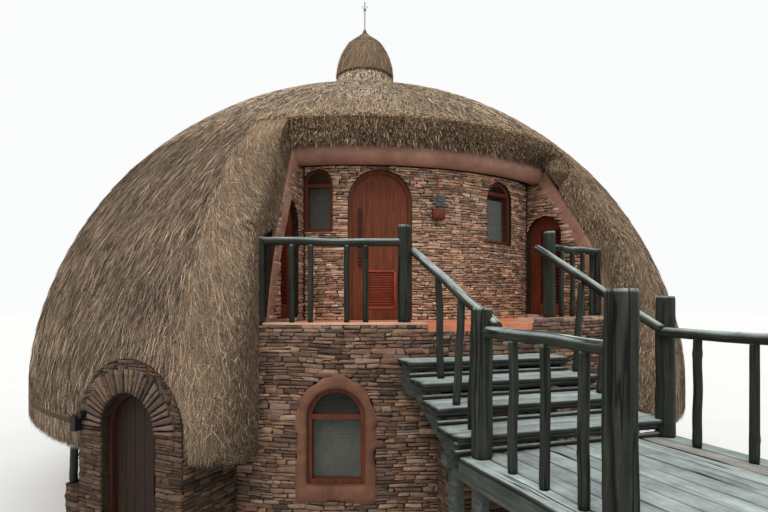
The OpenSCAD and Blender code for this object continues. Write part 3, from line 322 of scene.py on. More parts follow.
def weathered(name, dark, mid, light, worn, bleached_and_highlit, rough, few):
    """Paint-worn timber. Its grain and splits follow each piece, and upper sides are lighter, from sun
    bleaching and a painted sky highlight.
    The higher few is, the fewer splits there are."""
    k = Mat(name, rough, 0.2)
    g = k.attr("grain", "Vector")
    grain = k.noise(k.mapping(g, (26, 26, 1.1)), 1.6, 6, 0.65, 0.7)
    fibre = k.noise(k.mapping(g, (160, 160, 3.0)), 1.0, 4)
    split = k.noise(k.mapping(g, (17, 17, 0.55)), 1.0, 2, 0.4)
    blot = k.noise(k.at, 5, 5, 0.65)
    col = k.tones(grain, (0.28, 0.52, 0.78), (dark, mid, light))
    col = k.shade(col, blot, (0.32, (0.66, 0.67, 0.66)), (0.7, (1.22, 1.2, 1.18)), 0.8)
    col = k.shade(col, fibre, (0.35, 0.7), (0.6, 1.1), 0.7)
    up = k.node("SeparateXYZ", {"Vector": k.node("NewGeometry").outputs["Normal"]}).outputs[2]
    lit = k.math("MULTIPLY", k.ramp(up, (0.25, 0), (0.95, 1)), k.ramp(blot, (0.25, 0.4675), (0.7, 1)))
    # upper sides take the paler tones, by their normal: sun bleaching with a painted sky highlight
    col = k.mix(col, k.tones(grain, (0.3, 0.7), (worn, bleached_and_highlit)), lit)
    whole = k.ramp(k.noise(k.mapping(g, (3, 3, 0.7)), 1.0, 1), (few, 1), (few + 0.04, 0))
    crack = k.mix(k.ramp(split, (0.455, 1), (0.485, 0.12), (0.515, 0.12), (0.545, 1)), (1, 1, 1, 1), whole)
    col = k.mix(col, crack, 1.0, "MULTIPLY")
    col = k.mix(col, k.attr("tint", "Color"), 1.0, "MULTIPLY")
    k.finish(col, k.bump(crack, 0.9, 0.008, k.bump(fibre, 0.35, 0.003, k.bump(grain, 0.55, 0.008))),
             k.ramp(grain, (0.2, rough - 0.15), (0.8, rough + 0.2)))


# the last two tones of each are for upper sides: sun bleaching with a painted sky highlight
weathered("dark_pole", (22, 24, 19), (40, 43, 35), (68, 72, 62), (112, 122, 118), (196, 206, 202), 0.65, 0.52)
weathered("grey_board", (38, 40, 34), (60, 64, 57), (92, 98, 91), (132, 142, 138), (182, 192, 188), 0.66, 0.6)

# plain ones: two tones, roughness, specular, metal, how fine the mottle is, and its bump
for name, a, b, rough, spec, metal, scale, bump in (
        ("concrete", (108, 100, 92), (136, 128, 118), 0.85, 0.3, 0, 12, 0.4),
        ("black_iron", (14, 15, 15), (34, 35, 34), 0.5, 0.5, 0.6, 60, 0.2),
        ("fired_clay", (84, 38, 26), (116, 56, 38), 0.75, 0.3, 0, 40, 0.4),
        ("worn_copper", (120, 62, 44), (158, 92, 68), 0.5, 0.5, 0.5, 40, 0.2),
        ("dull_metal", (58, 66, 66), (112, 122, 120), 0.55, 0.5, 0.5, 60, 0.2),
        ("zinc", (92, 94, 96), (140, 142, 144), 0.45, 0.5, 0.8, 50, 0.2),
        ("reed_blind", (88, 87, 79), (112, 110, 100), 0.85, 0.1, 0, 16, 0.2),
        # this blind is paler: a painted reflection of the sky on the glass before it
        ("blind_painted_sky_reflection", (134, 135, 131), (158, 159, 155), 0.85, 0.1, 0, 16, 0.2),
        ("studio_floor", (204, 203, 200), (208, 207, 204), 0.95, 0.0, 0, 0.5, 0.0)):
    k = Mat(name, rough, spec, metal)
    n = k.noise(k.at, scale, 6, 0.7)
    k.finish(k.tones(n, (0.3, 0.7), (a, b)), k.bump(n, bump, 0.003),
             k.ramp(n, (0.2, rough - 0.1), (0.8, min(1, rough + 0.15))))


def wear(material, *names):
    """Gives nodes of the CAD a material."""
    for name in names:
        NODES[name].data.materials.clear()
        NODES[name].data.materials.append(M[material])


wear("thatch_bed", "thatch_crown", "thatch_left", "thatch_back", "thatch_right", "thatch_verges",
     "thatch_cap")
wear("stone_joint", "lower_wall_front", "lower_wall_right", "lower_wall_back", "lower_wall_left",
     "lower_wall_over_door", "porch_walls", "porch_arch", "niche_back_wall", "cheek_walls",
     "knee_wall", "stair_pier")
wear("mauve_plaster", "ring_beam", "raker_beams")
wear("lip_plaster", "terrace_coping")
wear("orange_screed", "terrace_floor")
wear("concrete", "ground_floor_slab", "upper_floor")
wear("mahogany", "main_door")
wear("frame_timber", "main_door_frame", "upper_window_frames", "lower_window_frame")
wear("louvre_timber", "louvre_doors")
wear("porch_frame_painted_shade", "ground_door_frame")
wear("dark_door", "ground_door")
wear("black_iron", "porch_lamp")
wear("zinc", "spike")
wear("window_glass", "window_glass")


# ------------ thatch
DOME_R = 6.204          # the widest ring of the dome
BROW_R = 4.425          # the lip over the niche
NICHE_END = 0.617       # half the angle of the dome's open front
VERGE_A = rad(28.75)    # the clean edge of the verges
# heights of the eave, the brow, the collar round the foot of the cap, and the cap's own edge
EAVE_Z, BROW_Z, COLLAR_Z, CAP_Z = 1.35, 5.85, 7.5, 8.235
STRAW = np.array([srgb(*c) for c in (
    (158, 136, 112), (132, 112, 94), (104, 86, 72), (204, 182, 150),
    (72, 58, 49), (148, 130, 114), (92, 77, 66), (116, 101, 90))])


def triangles(node):
    me = NODES[node].data
    me.calc_loop_triangles()
    co = np.empty(len(me.vertices) * 3, np.float32)
    me.vertices.foreach_get("co", co)
    tr = np.empty(len(me.loop_triangles) * 3, np.int32)
    me.loop_triangles.foreach_get("vertices", tr)
    return co.reshape(-1, 3)[tr.reshape(-1, 3)].astype(float)


def faces_of(node):
    """A thatch node's faces, and which of them are combed outside, and which cut or hanging ends."""
    t = triangles(node)
    n = np.cross(t[:, 1] - t[:, 0], t[:, 2] - t[:, 0])
    area = np.linalg.norm(n, axis=1) / 2
    n = unit(n)
    c = t.mean(1)
    z, up = c[:, 2], n[:, 2]
    r, ang = polar(c)
    q = (n * unit(c - [0, 0, 1.6])).sum(1)
    across = n[:, 0] * np.cos(ang) + n[:, 1] * np.sin(ang)
    joint = np.abs(across) > 0.985
    if node == "thatch_verges":
        joint = joint & (across * np.sign(ang) > 0)
    if node != "thatch_crown":
        joint = joint | ((r < 4.445) & (z > 5.5) & (z < 7))
    cut = (q > -0.3) & ~joint & np.where(z > 5.3, up < 0, up < -0.3)
    comb = (q > 0.1) & ~joint & ~cut & (up > -0.3)
    if node == "thatch_crown":
        cut &= (np.abs(ang) < NICHE_END) & (z < 6)
        comb = ((q > 0.1) & (up > 0) & (z > 5.8)) | ((z > 7.2) & (q > -0.2))
    if node == "thatch_verges":
        comb |= (across * np.sign(ang) < -0.3) & ~cut & (q > -0.6)
    if node == "thatch_cap":
        cut = (up < -0.2) & (r > 0.5)
        comb = up > -0.2
    return t, n, area, comb, cut


def pick(t, n, weight, density):
    """Random points on triangles, with their normals."""
    count = int(weight.sum() * density)
    if count < 1:
        return np.zeros((0, 3)), np.zeros((0, 3))
    i = rng.choice(len(weight), count, p=weight / weight.sum())
    r1, r2 = np.sqrt(rng.random(count))[:, None], rng.random(count)[:, None]
    return t[i, 0] * (1 - r1) + t[i, 1] * r1 * (1 - r2) + t[i, 2] * r1 * r2, n[i]


def held_in(v):
    """No strand leaves the widest ring of the dome."""
    v[:, :2] *= np.minimum(1, DOME_R / np.maximum(polar(v)[0], 1e-6))[:, None]
    return v


def beside_niche(v):
    """The verges end in one clean edge along the raking beams."""
    r, ang = polar(v)
    ang = np.where(np.abs(ang) < VERGE_A, np.sign(ang) * VERGE_A, ang)
    return np.column_stack([r * np.sin(ang), -r * np.cos(ang), v[:, 2]])


def straw_tint(p, gold, dark, seed):
    col = STRAW[rng.integers(0, len(STRAW), len(p))]
    patch = wander(p, 0.9, seed)[:, None] * 0.2 + wander(p, 3.1, seed + 1)[:, None] * 0.2
    col = col * (1 + patch) * rng.uniform(0.7, 1.4, (len(p), 1))
    col = col * (1 - gold) + np.array(srgb(190, 162, 128)) * gold * rng.uniform(0.6, 1.3, (len(p), 1))
    return np.clip(col * (1 - dark), 0, 1)


def strands(p, n, length, width, lift, spread, seed):
    """One slim strand for each point, combed down the slope. Returns (count, 3, 3)."""
    down = np.array([0.0, 0.0, -1.0])
    d = unit(down - (n @ down)[:, None] * n)
    s = np.cross(n, d)
    wild = np.where(rng.random(len(p)) < 0.3, 2.6, 1.0)
    yaw = rng.normal(0, spread, len(p)) * wild + wander(p, 1.3, seed) * spread * 1.3
    d = d * np.cos(yaw)[:, None] + s * np.sin(yaw)[:, None]
    roll = rng.normal(0, 0.45, len(p))[:, None]
    s = np.cross(n, d) * np.cos(roll) + n * np.sin(roll)
    ln = (length * rng.uniform(0.5, 1.35, len(p)))[:, None]
    w = (width * rng.uniform(0.6, 1.4, len(p)))[:, None] / 2
    low = np.maximum(wander(p, 2.2, seed + 5)[:, None] * 0.008, -0.003)
    root = p + n * (low + lift * rng.uniform(-0.6, 0.8, (len(p), 1)))
    tip = p + d * ln + n * (low + lift * rng.uniform(-0.9, 1.5, (len(p), 1)))
    return np.stack([root - s * w, root + s * w, tip], 1)


def tris_for(count):
    return np.arange(count * 3).reshape(-1, 3)


def tuck(count, seed=8):
    """Straw packed between the right raking beam and the edge of the verge, over a dark bed."""
    z = rng.uniform(3.08, 4.42, count)
    foot = np.interp(z, (3.0, 4.2, 4.45), (5.36, 5.10, 4.98))
    head = np.interp(z, (3.0, 4.15, 4.45), (5.43, 5.42, 5.2))
    r = foot + (head - foot) * rng.random(count)
    out = np.array([sin(rad(29)), -cos(rad(29))])
    n = np.tile([out[1], -out[0], 0.0], (count, 1))
    p = np.column_stack([r * out[0], r * out[1], z])
    q = strands(p, n, 0.22, 0.011, 0.012, 0.14, seed)
    bed = np.array([(*(out * r), z) for r, z in (
        (5.30, 3.02), (5.43, 3.02), (5.43, 4.2), (5.2, 4.5), (4.98, 4.5), (5.08, 4.2))]) - n[:1] * 0.012
    # painted shade: each strand's two roots dark and its tip brighter
    tint = np.repeat(straw_tint(p, 0.25, 0.1, seed), 3, 0) * np.tile([0.55, 0.55, 1.2], count)[:, None]
    build("straw_tuck", np.vstack([q.reshape(-1, 3), bed]),
          [tris_for(count), count * 3 + np.arange(len(bed))[None]], "straw", "thatch",
          np.clip(np.vstack([tint, np.tile(srgb(70, 56, 44), (len(bed), 1))]), 0, 1))


def thatch(node, density, length, width, lift=0.014, spread=0.16, gold=0.0, stub=900, cut_dark=0.2,
           fringe=0.0, seed=1):
    """Loose straw over a node: combed strands outside, and short stubs where it is cut."""
    crown, cap = node == "thatch_crown", node == "thatch_cap"
    t, n, area, comb, cut = faces_of(node)
    # round the foot of the cap the crown's straw is thicker and shorter
    collar = 1 + 2 * rise(t[:, :, 2].mean(1), COLLAR_Z, 0.2) * crown
    p, pn = pick(t, n, area * comb * collar, density)
    r, ang = polar(p)
    ang, z = np.abs(ang), p[:, 2]
    scale = np.ones(len(p))
    if crown:
        # over the niche the strands droop a little past the lip of the brow
        over = (ang < NICHE_END) & (r > 4.432 - length * 0.9)
        neck = rise(z, COLLAR_Z + 0.05, 0.2)
        scale = np.where(over, np.clip((4.56 - r) / length, 0.2, 0.62), 1) * (1 - 0.65 * neck)
        spread = np.where(over, 0.55, spread)
    if node == "thatch_verges":
        scale = rise(ang, rad(28.4), rad(3.5), 0.3)
    q = strands(p, pn, length * (scale * rise(z, EAVE_Z, 0.5, 0.25)), width, lift, spread, seed)
    if cap:
        q[:, 2, 2] = np.maximum(q[:, 2, 2], CAP_Z + rng.uniform(0, 0.02, len(q)))
    if crown:
        tip = q[over, 2]
        tr = polar(tip)[0]
        past = np.clip(tr - BROW_R, 0, None)
        tip[:, :2] *= ((BROW_R + 0.3 * past) / np.maximum(tr, 1e-6))[:, None] ** (past > 0)[:, None]
        tip[:, 2] -= past * 0.6 + (past > 0) * rng.uniform(-0.02, 0.04, len(tip))
        q[over, 2] = tip
    brow = np.exp(-((z - BROW_Z) / 0.3) ** 2) * (ang < 0.62) * 0.45
    g = np.clip(gold + brow + rise(z, 5.0, 2.0) * 0.25, 0, 0.85)[:, None]
    tint = straw_tint(p, g, 0.0, seed + 20) * (1 - 0.25 * rise(z, 2.4, -1.0))[:, None]
    if not cap:
        tint = tint * (1 + rise(z, 5.7, 1.3)[:, None] * np.array([0.95, 1.12, 1.3]))
        # round the foot of the cap the straw is painted lighter, lifting the cap's shadow
        tint = tint * (1 + 0.35 * rise(z, COLLAR_Z + 0.12, 0.2))[:, None]
    shade = np.tile([0.62, 0.62, 1.25], (len(p), 1))        # painted shade: two dark roots and a brighter tip
    if crown:
        # over the lip and round the cap's foot the painted shade at the roots is weaker
        shade[over] = (1.0, 1.0, 1.1)
        shade += neck[:, None] * (np.array([0.9, 0.9, 1.1]) - shade)
    verts = [q.reshape(-1, 3)]
    tints = [np.clip(np.repeat(tint, 3, 0) * shade.reshape(-1, 1), 0, 1)]
    # cut ends: short stubs that stand out of the face, some hanging down over what is below
    p, pn = pick(t, n, area * cut, stub)
    if len(p):
        each = (len(p), 1)
        a = unit(np.cross(pn, rng.normal(size=p.shape)))
        w = rng.uniform(0.007, 0.015, each)
        h = rng.uniform(0.004, 0.036, each) * (1 + 0.6 * wander(p, 5.0, seed + 60)[:, None])
        hang = (rng.random(each) < fringe) * rng.uniform(0.02, 0.08, each)
        tip = p + pn * h + rng.normal(0, 0.010, p.shape) - np.array([0, 0, 1.0]) * (0.006 + hang)
        tip = tip + unit(np.cross(pn, [0, 0, 1.0])) * hang * rng.normal(0, 0.35, each)
        verts.append(np.stack([p - a * w - pn * 0.008, p + a * w - pn * 0.008, tip], 1).reshape(-1, 3))
        high = rise(p[:, 2], 5.56, 0.22)[:, None] * crown
        patch = np.clip(1.55 + wander(p, 3.2, seed + 70), 0.35, 2.5)[:, None]
        patch = patch * (1 - 0.6 * high) + 0.75 * high
        tint = np.clip(straw_tint(p, 0.12 + 0.3 * high, cut_dark, seed + 40) * patch, 0, 1)
        tint = tint * np.where(rng.random(each) < 0.3, 0.6, 1.0)
        # painted shade: each stub darker at its foot, brighter at its tip
        tints.append(np.repeat(tint, 3, 0) * np.tile([0.8, 0.8, 1.1], len(p))[:, None])
    verts = held_in(np.concatenate(verts))
    if node == "thatch_verges":
        verts = beside_niche(verts)
    build(node.replace("thatch", "straw"), verts, [tris_for(len(verts) // 3)], "straw", "thatch",
          np.clip(np.concatenate(tints), 0, 1))


tuck(5200)
thatch("thatch_left", 3300, 0.30, 0.010, seed=1)
thatch("thatch_right", 2700, 0.30, 0.010, seed=2)
thatch("thatch_back", 1900, 0.32, 0.013, seed=3)
thatch("thatch_crown", 1880, 0.22, 0.011, 0.012, 0.2, 0.05, stub=14600, cut_dark=0.25, fringe=0.12, seed=4)
thatch("thatch_verges", 6500, 0.26, 0.009, 0.012, 0.2, 0.2, stub=5000, seed=5)
thatch("thatch_cap", 6000, 0.20, 0.009, 0.008, 0.12, 0.1, stub=9000, fringe=0.3, seed=6)


# ------------ laid stone
WALL_R, NICHE_R = 5.35, 3.9     # the faces of the lower wall and of the niche's back wall
TERRACE_Z, DECK_Z = 3.0, 1.89
SEAM = 0.004                    # half the joint between two stones
TONES = np.array([srgb(*c) for c in (
    (158, 130, 110), (148, 118, 102), (136, 114, 98), (170, 144, 124),
    (124, 102, 90), (152, 134, 122), (112, 94, 84), (162, 128, 108))])
# the sides of a stone between its three rings of corners, and its face
STONE_QUADS = [[i + j, i + (j + 1) % 4, i + 4 + (j + 1) % 4, i + 4 + j]
               for i in (0, 4) for j in range(4)] + [[8, 9, 10, 11]]


def stone_tone(low, high):
    return TONES[rng.integers(len(TONES))] * rng.uniform(low, high)


def stone(heap, place, u0, u1, z0, z1, out, tone):
    """One stone with worn edges: a foot in the wall, a shoulder and a smaller face."""
    e = min(0.011, (z1 - z0) * 0.2)
    j = rng.uniform(-e, e, (4, 2)) * np.array([1.6, 1.0])
    j[[1, 2], 1] += rng.normal(0, e * 0.45)
    base = np.array([[u0, z0], [u1, z0], [u1, z1], [u0, z1]]) + j
    mid = base.mean(0)
    inset = min(0.011, (z1 - z0) * 0.22)
    half = np.maximum(np.abs(base - mid), 1e-4)
    face = mid + np.sign(base - mid) * (half - inset * rng.uniform(0.7, 1.5, (4, 2)))
    v = [place(u, z, h) for h in (-0.012, out * 0.55) for u, z in base]
    v += [place(u, z, out * rng.uniform(0.8, 1.15)) for u, z in face]
    heap.add(v, STONE_QUADS, tint=tone)


def lay(heap, flat_place, spans, z0, z1, course=(0.03, 0.07), size=(0.07, 0.27), out=(0.004, 0.03),
        tint=(1, 1, 1)):
    """Courses of thin stones. spans(z) gives the free stretches along the wall."""
    ph = rng.uniform(0, 6.28, 4)

    def place(u, z, h):
        still = min(1.0, (z - z0) / 0.3, (z1 - z) / 0.3)
        wave = 0.009 * sin(u * 2.3 + z * 1.7 + ph[0]) + 0.006 * sin(u * 6.1 - z * 3 + ph[1])
        return flat_place(u, z + still * wave, h)

    def one(u, w, low, high, out, tone):
        stone(heap, place, u + SEAM, u + w - SEAM, low + SEAM, high - SEAM, out, tone)
    z = z0
    while z < z1 - 0.015:
        h = min(rng.uniform(*course), z1 - z)
        if z1 - z - h < 0.02:
            h = z1 - z
        for a, b in spans(z + h / 2):
            u = a
            while u < b - 0.02:
                w = rng.uniform(*size) * (0.7 + 6 * h)
                if b - u - w < 0.07:
                    w = b - u
                tone = np.clip(stone_tone(0.6, 1.3) * np.array(tint), 0, 1)
                o = rng.uniform(*out)
                if h > 0.055 and rng.random() < 0.3:
                    m = z + h * rng.uniform(0.4, 0.6)
                    one(u, w, z, m, o, tone)
                    one(u, w, m, z + h, rng.uniform(*out), tone * rng.uniform(0.8, 1.15))
                else:
                    one(u, w, z, z + h, o, tone)
                u += w
        z += h


def cut_out(spans, lo, hi):
    """Takes the stretch lo to hi out of the free stretches."""
    got = []
    for a, b in spans:
        if hi <= a or lo >= b:
            got.append((a, b))
        else:
            got += [(p, q) for p, q in ((a, lo), (hi, b)) if q - p > 0.03]
    return got


def arch_half(z, w, h):
    """Half width of a round-headed opening at height z over its foot, or None."""
    if z < 0 or z > h:
        return None
    s = h - w / 2
    return w / 2 if z <= s else sqrt(max(0, (w / 2) ** 2 - (z - s) ** 2))


def half_near(z, w, h):
    """Half width of an opening for a course of stones whose middle is at height z."""
    return None if z < 0 or z > h else arch_half(min(z + 0.025, h), w, h)


def push_out(u, z, openings):
    """Trims the stones to the curve of the openings: centre, foot, width and height of each."""
    for uc, foot, w, h in openings:
        x, y, s, r = u - uc, z - foot, h - w / 2, w / 2 + 0.006
        if abs(x) < r and -0.001 < y < 0.05:
            z = foot - 0.003
        elif abs(x) < r and 0 < y <= s:
            u = uc + copysign(r, x)
        elif y > s and hypot(x, y - s) < r:
            f = r / max(hypot(x, y - s), 0.001)
            u, z = uc + x * f, foot + s + (y - s) * f
    return u, z


def round_wall(radius, openings=()):
    """Places stones on a round wall: u runs along it from the front."""
    def place(u, z, h):
        u, z = push_out(u, z, openings)
        return about(u / radius, 0, -(radius + h), z)
    return place


def plane(origin, along, out, trim=None):
    """Places stones on a flat face: u runs along it from its origin."""
    o, a, n = (np.array(v, float)[:2] for v in (origin, along, out))

    def place(u, z, h):
        if trim:
            u, z = trim(u, z)
        return (*(o + a * u + n * h), z)
    return place


PORCH_A, PORCH_FACE = rad(-41.1), 6.15
WINDOW_A, WINDOW_W, WINDOW_H, WINDOW_FOOT = rad(-18.6), 0.70, 1.164, 1.07
PIER_X0, PIER_X1, PIER_Y0, PIER_Y1, PIER_H = -0.49, 0.90, -5.3, -5.74, 2.2
NICHE_LEFT, NICHE_RIGHT, NICHE_TOP = rad(-28.5), rad(31), 5.29
# the door and the windows of the niche: angle, width, height, and foot over the terrace
DOOR_A = rad(-11.5)
WINDOWS = ((rad(-25.2), 0.44, 0.93, 1.315), (rad(19.5), 0.59, 1.015, 1.205))
OPENINGS = ((DOOR_A, 0.95, 2.24, 0.0), *WINDOWS)


def surround_half(z):
    """Half width of the pointed plaster round the lower window, z over its foot."""
    w, h = 0.97, 1.527
    strike = w * 0.53
    off = strike - w / 2
    spring = h - sqrt(strike ** 2 - off ** 2)
    if z < 0 or z > h:
        return None
    return w / 2 if z <= spring else max(0.0, sqrt(max(0, strike ** 2 - (z - spring) ** 2)) - off)


SKIRT_Z, SKIRT_A = 1.75, rad(36.5)      # over this height the thatch hides all but the front
PORCH_SIDE = rad(9.0)                   # half the angle that the porch takes up
COPING_Z, COPING = 2.91, (rad(-6.65), rad(9.4))
LOWER_TINT = (0.74, 0.71, 0.68)


def lower_spans(z):
    """Where the lower wall shows: not at the porch, the window, the pier and the stair head."""
    half = SKIRT_A if z > SKIRT_Z else pi
    full = cut_out([(-half * WALL_R, half * WALL_R)],
                   (PORCH_A - PORCH_SIDE) * WALL_R, (PORCH_A + PORCH_SIDE) * WALL_R)
    s = surround_half(z - 0.87)
    if s is not None:
        full = cut_out(full, WINDOW_A * WALL_R - s + 0.012, WINDOW_A * WALL_R + s - 0.012)
    if z < PIER_H:
        full = cut_out(full, PIER_X0 + 0.02, PIER_X1 - 0.02)
    if z > COPING_Z:
        full = cut_out(full, COPING[0] * WALL_R, COPING[1] * WALL_R)
    return full


def part_of(spans, lo, hi):
    return lambda z: cut_out(cut_out(spans(z), -99, lo), hi, 99)


h1 = Heap()
SIDE = rad(62) * WALL_R     # past this, stones are larger and end under the thatch
lay(h1, round_wall(WALL_R), part_of(lower_spans, -SIDE, SIDE), 0.0, 2.998, tint=LOWER_TINT)
for lo, hi in ((-99, -SIDE), (SIDE, 99)):
    lay(h1, round_wall(WALL_R), part_of(lower_spans, lo, hi), 0.0, SKIRT_Z, (0.045, 0.09), (0.15, 0.42),
        tint=LOWER_TINT)
h1.make("lower_stones", "ledge_stone", "stone")


def niche_spans(z):
    full = [(NICHE_LEFT * NICHE_R + 0.02, NICHE_RIGHT * NICHE_R - 0.02)]
    for a, w, h, foot in OPENINGS:
        s = half_near(z - TERRACE_Z - foot, w, h)
        if s is not None:
            full = cut_out(full, a * NICHE_R - s, a * NICHE_R + s)
    return full


h2 = Heap()
HOLES = [(a * NICHE_R, TERRACE_Z + foot, w, h) for a, w, h, foot in OPENINGS]
lay(h2, round_wall(NICHE_R, HOLES), niche_spans, TERRACE_Z, NICHE_TOP, (0.022, 0.052), (0.06, 0.2),
    (0.005, 0.026), tint=(1.85, 1.84, 1.76))

# the niche's side walls: the corner's angle, the wall's turn, which way is in, where the louvred
# door stands, and the heights and places at which the raking beam cuts the stones off
LOUVRE_W, LOUVRE_H, LOUVRE_FOOT = 0.65, 1.66, 3.05
for angle, turn, inward, door, beam in (
        (NICHE_LEFT, NICHE_LEFT, 1, 0.538, ((3.0, 4.2, 4.7, 5.3), (1.27, 1.0, 0.74, 0.33))),
        (NICHE_RIGHT, rad(21.4), -1, 0.350, ((3.0, 4.2, 4.7, 5.3), (1.34, 1.02, 0.72, 0.28)))):

    def cheek_spans(z):
        got = [(0.02, float(np.interp(z - 0.03, *beam)))]
        q = half_near(z - LOUVRE_FOOT, LOUVRE_W, LOUVRE_H)
        return cut_out(got, door - q, door + q) if q is not None else got

    def cheek_trim(u, z):
        u, z = push_out(u, z, [(door, LOUVRE_FOOT, LOUVRE_W, LOUVRE_H)])
        return min(u, float(np.interp(z, *beam)) - 0.012), z
    c, s = cos(turn), sin(turn)
    face = plane(about(angle, 0, -NICHE_R, 0), (s, -c), (c * inward, s * inward), cheek_trim)
    lay(h2, face, cheek_spans, TERRACE_Z, NICHE_TOP - 0.04, (0.034, 0.07), (0.07, 0.24), (0.005, 0.02),
        tint=(1.4, 1.36, 1.3))
h2.make("niche_stones", "ledge_stone", "stone")


def porch_point(x, y, z=0.0):
    """A place in the porch's own frame, y inward from its face."""
    return about(PORCH_A, x, y - PORCH_FACE, z)


def porch_plane(x, y, ax, ay, trim=None):
    """A face of the porch: starts at a place in its frame and runs along a direction."""
    along = about(PORCH_A, ax, ay, 0)
    return plane(porch_point(x, y), along, (along[1], -along[0]), trim)


h3 = Heap()
# half the porch's width and half its opening, the outside of the arch ring, and where the arch springs
HALF, OPEN, RING, SPRING = 0.83, 0.44, 0.7, 1.795
LOW_PIER_X, LOW_PIER_H = -1.08, 1.04


def front_spans(z):
    if z < SPRING:
        return [(-HALF, -OPEN - 0.002), (OPEN + 0.002, HALF)]
    k = z - SPRING
    if k >= HALF:
        return []
    o = sqrt(HALF ** 2 - max(0, k - 0.03) ** 2)
    i = sqrt(max(0, RING ** 2 - k ** 2))
    return [(-o, -i), (i, o)] if i > 0 else [(-o, o)]


def arch_trim(u, z):
    d = hypot(u, z - SPRING)
    if z > SPRING and d > HALF - 0.004:
        return u * (HALF - 0.004) / d, SPRING + (z - SPRING) * (HALF - 0.004) / d
    return u, z


# the front, the left side, the right side, and the two faces of the low pier
for face, spans, top in (
        (porch_plane(0, 0, 1, 0, arch_trim), front_spans, SPRING + HALF - 0.01),
        (porch_plane(-HALF, 1.0, 0, -1), lambda z: [(0, 0.99 if z > LOW_PIER_H else 0.56)], 1.8),
        (porch_plane(HALF, 0, 0, 1), lambda z: [(0.01, 1.0)], 1.8),
        (porch_plane(LOW_PIER_X, 0.435, 0, -1), lambda z: [(0, 0.43)], LOW_PIER_H),
        (porch_plane(LOW_PIER_X, 0, 1, 0), lambda z: [(0, 0.25)], LOW_PIER_H)):
    # the porch's stones are tinted dark: painted shadow over the porch
    lay(h3, face, spans, 0, top, (0.035, 0.075), (0.08, 0.26), tint=(0.34, 0.32, 0.29))
h3.make("porch_stones", "ledge_stone", "stone")

# the ring of long thin stones over the porch door
h4 = Heap()
edge = np.linspace(0, pi, 28) + np.r_[0, rng.uniform(-0.018, 0.018, 26), 0]
for a0, a1 in zip(edge[:-1], edge[1:]):
    top = OPEN + rng.uniform(0.25, 0.33)
    o = rng.uniform(0.026, 0.046)
    # the ring's stones are tinted dark like the porch's: painted shadow
    tone = stone_tone(0.36, 0.56)
    rings = []
    for r in np.linspace(OPEN + 0.002, top, 5):
        w = rng.uniform(0.85, 1.0)
        b0, b1 = a0 + 0.009 / r, a1 - 0.009 / r
        mid, hw = (b0 + b1) / 2, (b1 - b0) / 2 * w
        rings.append([porch_point(r * cos(mid + f * hw), -h * o * rng.uniform(0.92, 1.05),
                                  SPRING + r * sin(mid + f * hw))
                      for f, h in ((-1, 0), (-1, 0.7), (-0.7, 1), (0.7, 1), (1, 0.7), (1, 0))])
    sweep(h4, rings, tone)
h4.make("arch_ring_stones", "ledge_stone", "stone", replaces=("porch_arch_stones",))

# the pier under the stair
h5 = Heap()
for at, along, out, run in (((PIER_X0, PIER_Y0), (0, -1), (-1, 0), PIER_Y0 - PIER_Y1),
                            ((PIER_X0, PIER_Y1), (1, 0), (0, -1), PIER_X1 - PIER_X0),
                            ((PIER_X1, PIER_Y1), (0, 1), (1, 0), PIER_Y0 - PIER_Y1)):
    # the pier's stones are tinted dark: painted shade under the stair
    lay(h5, plane(at, along, out), lambda z: [(0, run)], 0, PIER_H, tint=(0.45, 0.43, 0.4))

# the low course along the right of the terrace, and the stones that lie on it
LOW0, LOW1 = rad(9.5), rad(28.6)
lay(h5, round_wall(WALL_R), lambda z: [(LOW0 * WALL_R, LOW1 * WALL_R)], 2.998, 3.064,
    (0.06, 0.066), out=(0.01, 0.035))
a = LOW0
while a < rad(28.2):
    b = a + rng.uniform(0.03, 0.075)
    r0 = WALL_R - 0.35
    while r0 < WALL_R - 0.06:
        r1 = min(r0 + rng.uniform(0.1, 0.22), WALL_R + 0.012)
        top = 3.062 + rng.uniform(-0.004, 0.012)
        foot = np.array([about(q, 0, -r, 3.01) for r, q in (
            (r0 + 0.006, a + 0.001), (r1, a + 0.001), (r1, b - 0.001), (r0 + 0.006, b - 0.001))])
        flat = np.array([1, 1, 0])
        mid = foot.mean(0) * flat
        rings = [foot, foot * flat + [0, 0, top - 0.008], mid + (foot * flat - mid) * 0.9 + [0, 0, top]]
        sweep(h5, rings, np.clip(stone_tone(0.8, 1.2), 0, 1))
        r0 = r1
    a = b
h5.make("pier_stones", "ledge_stone", "stone")


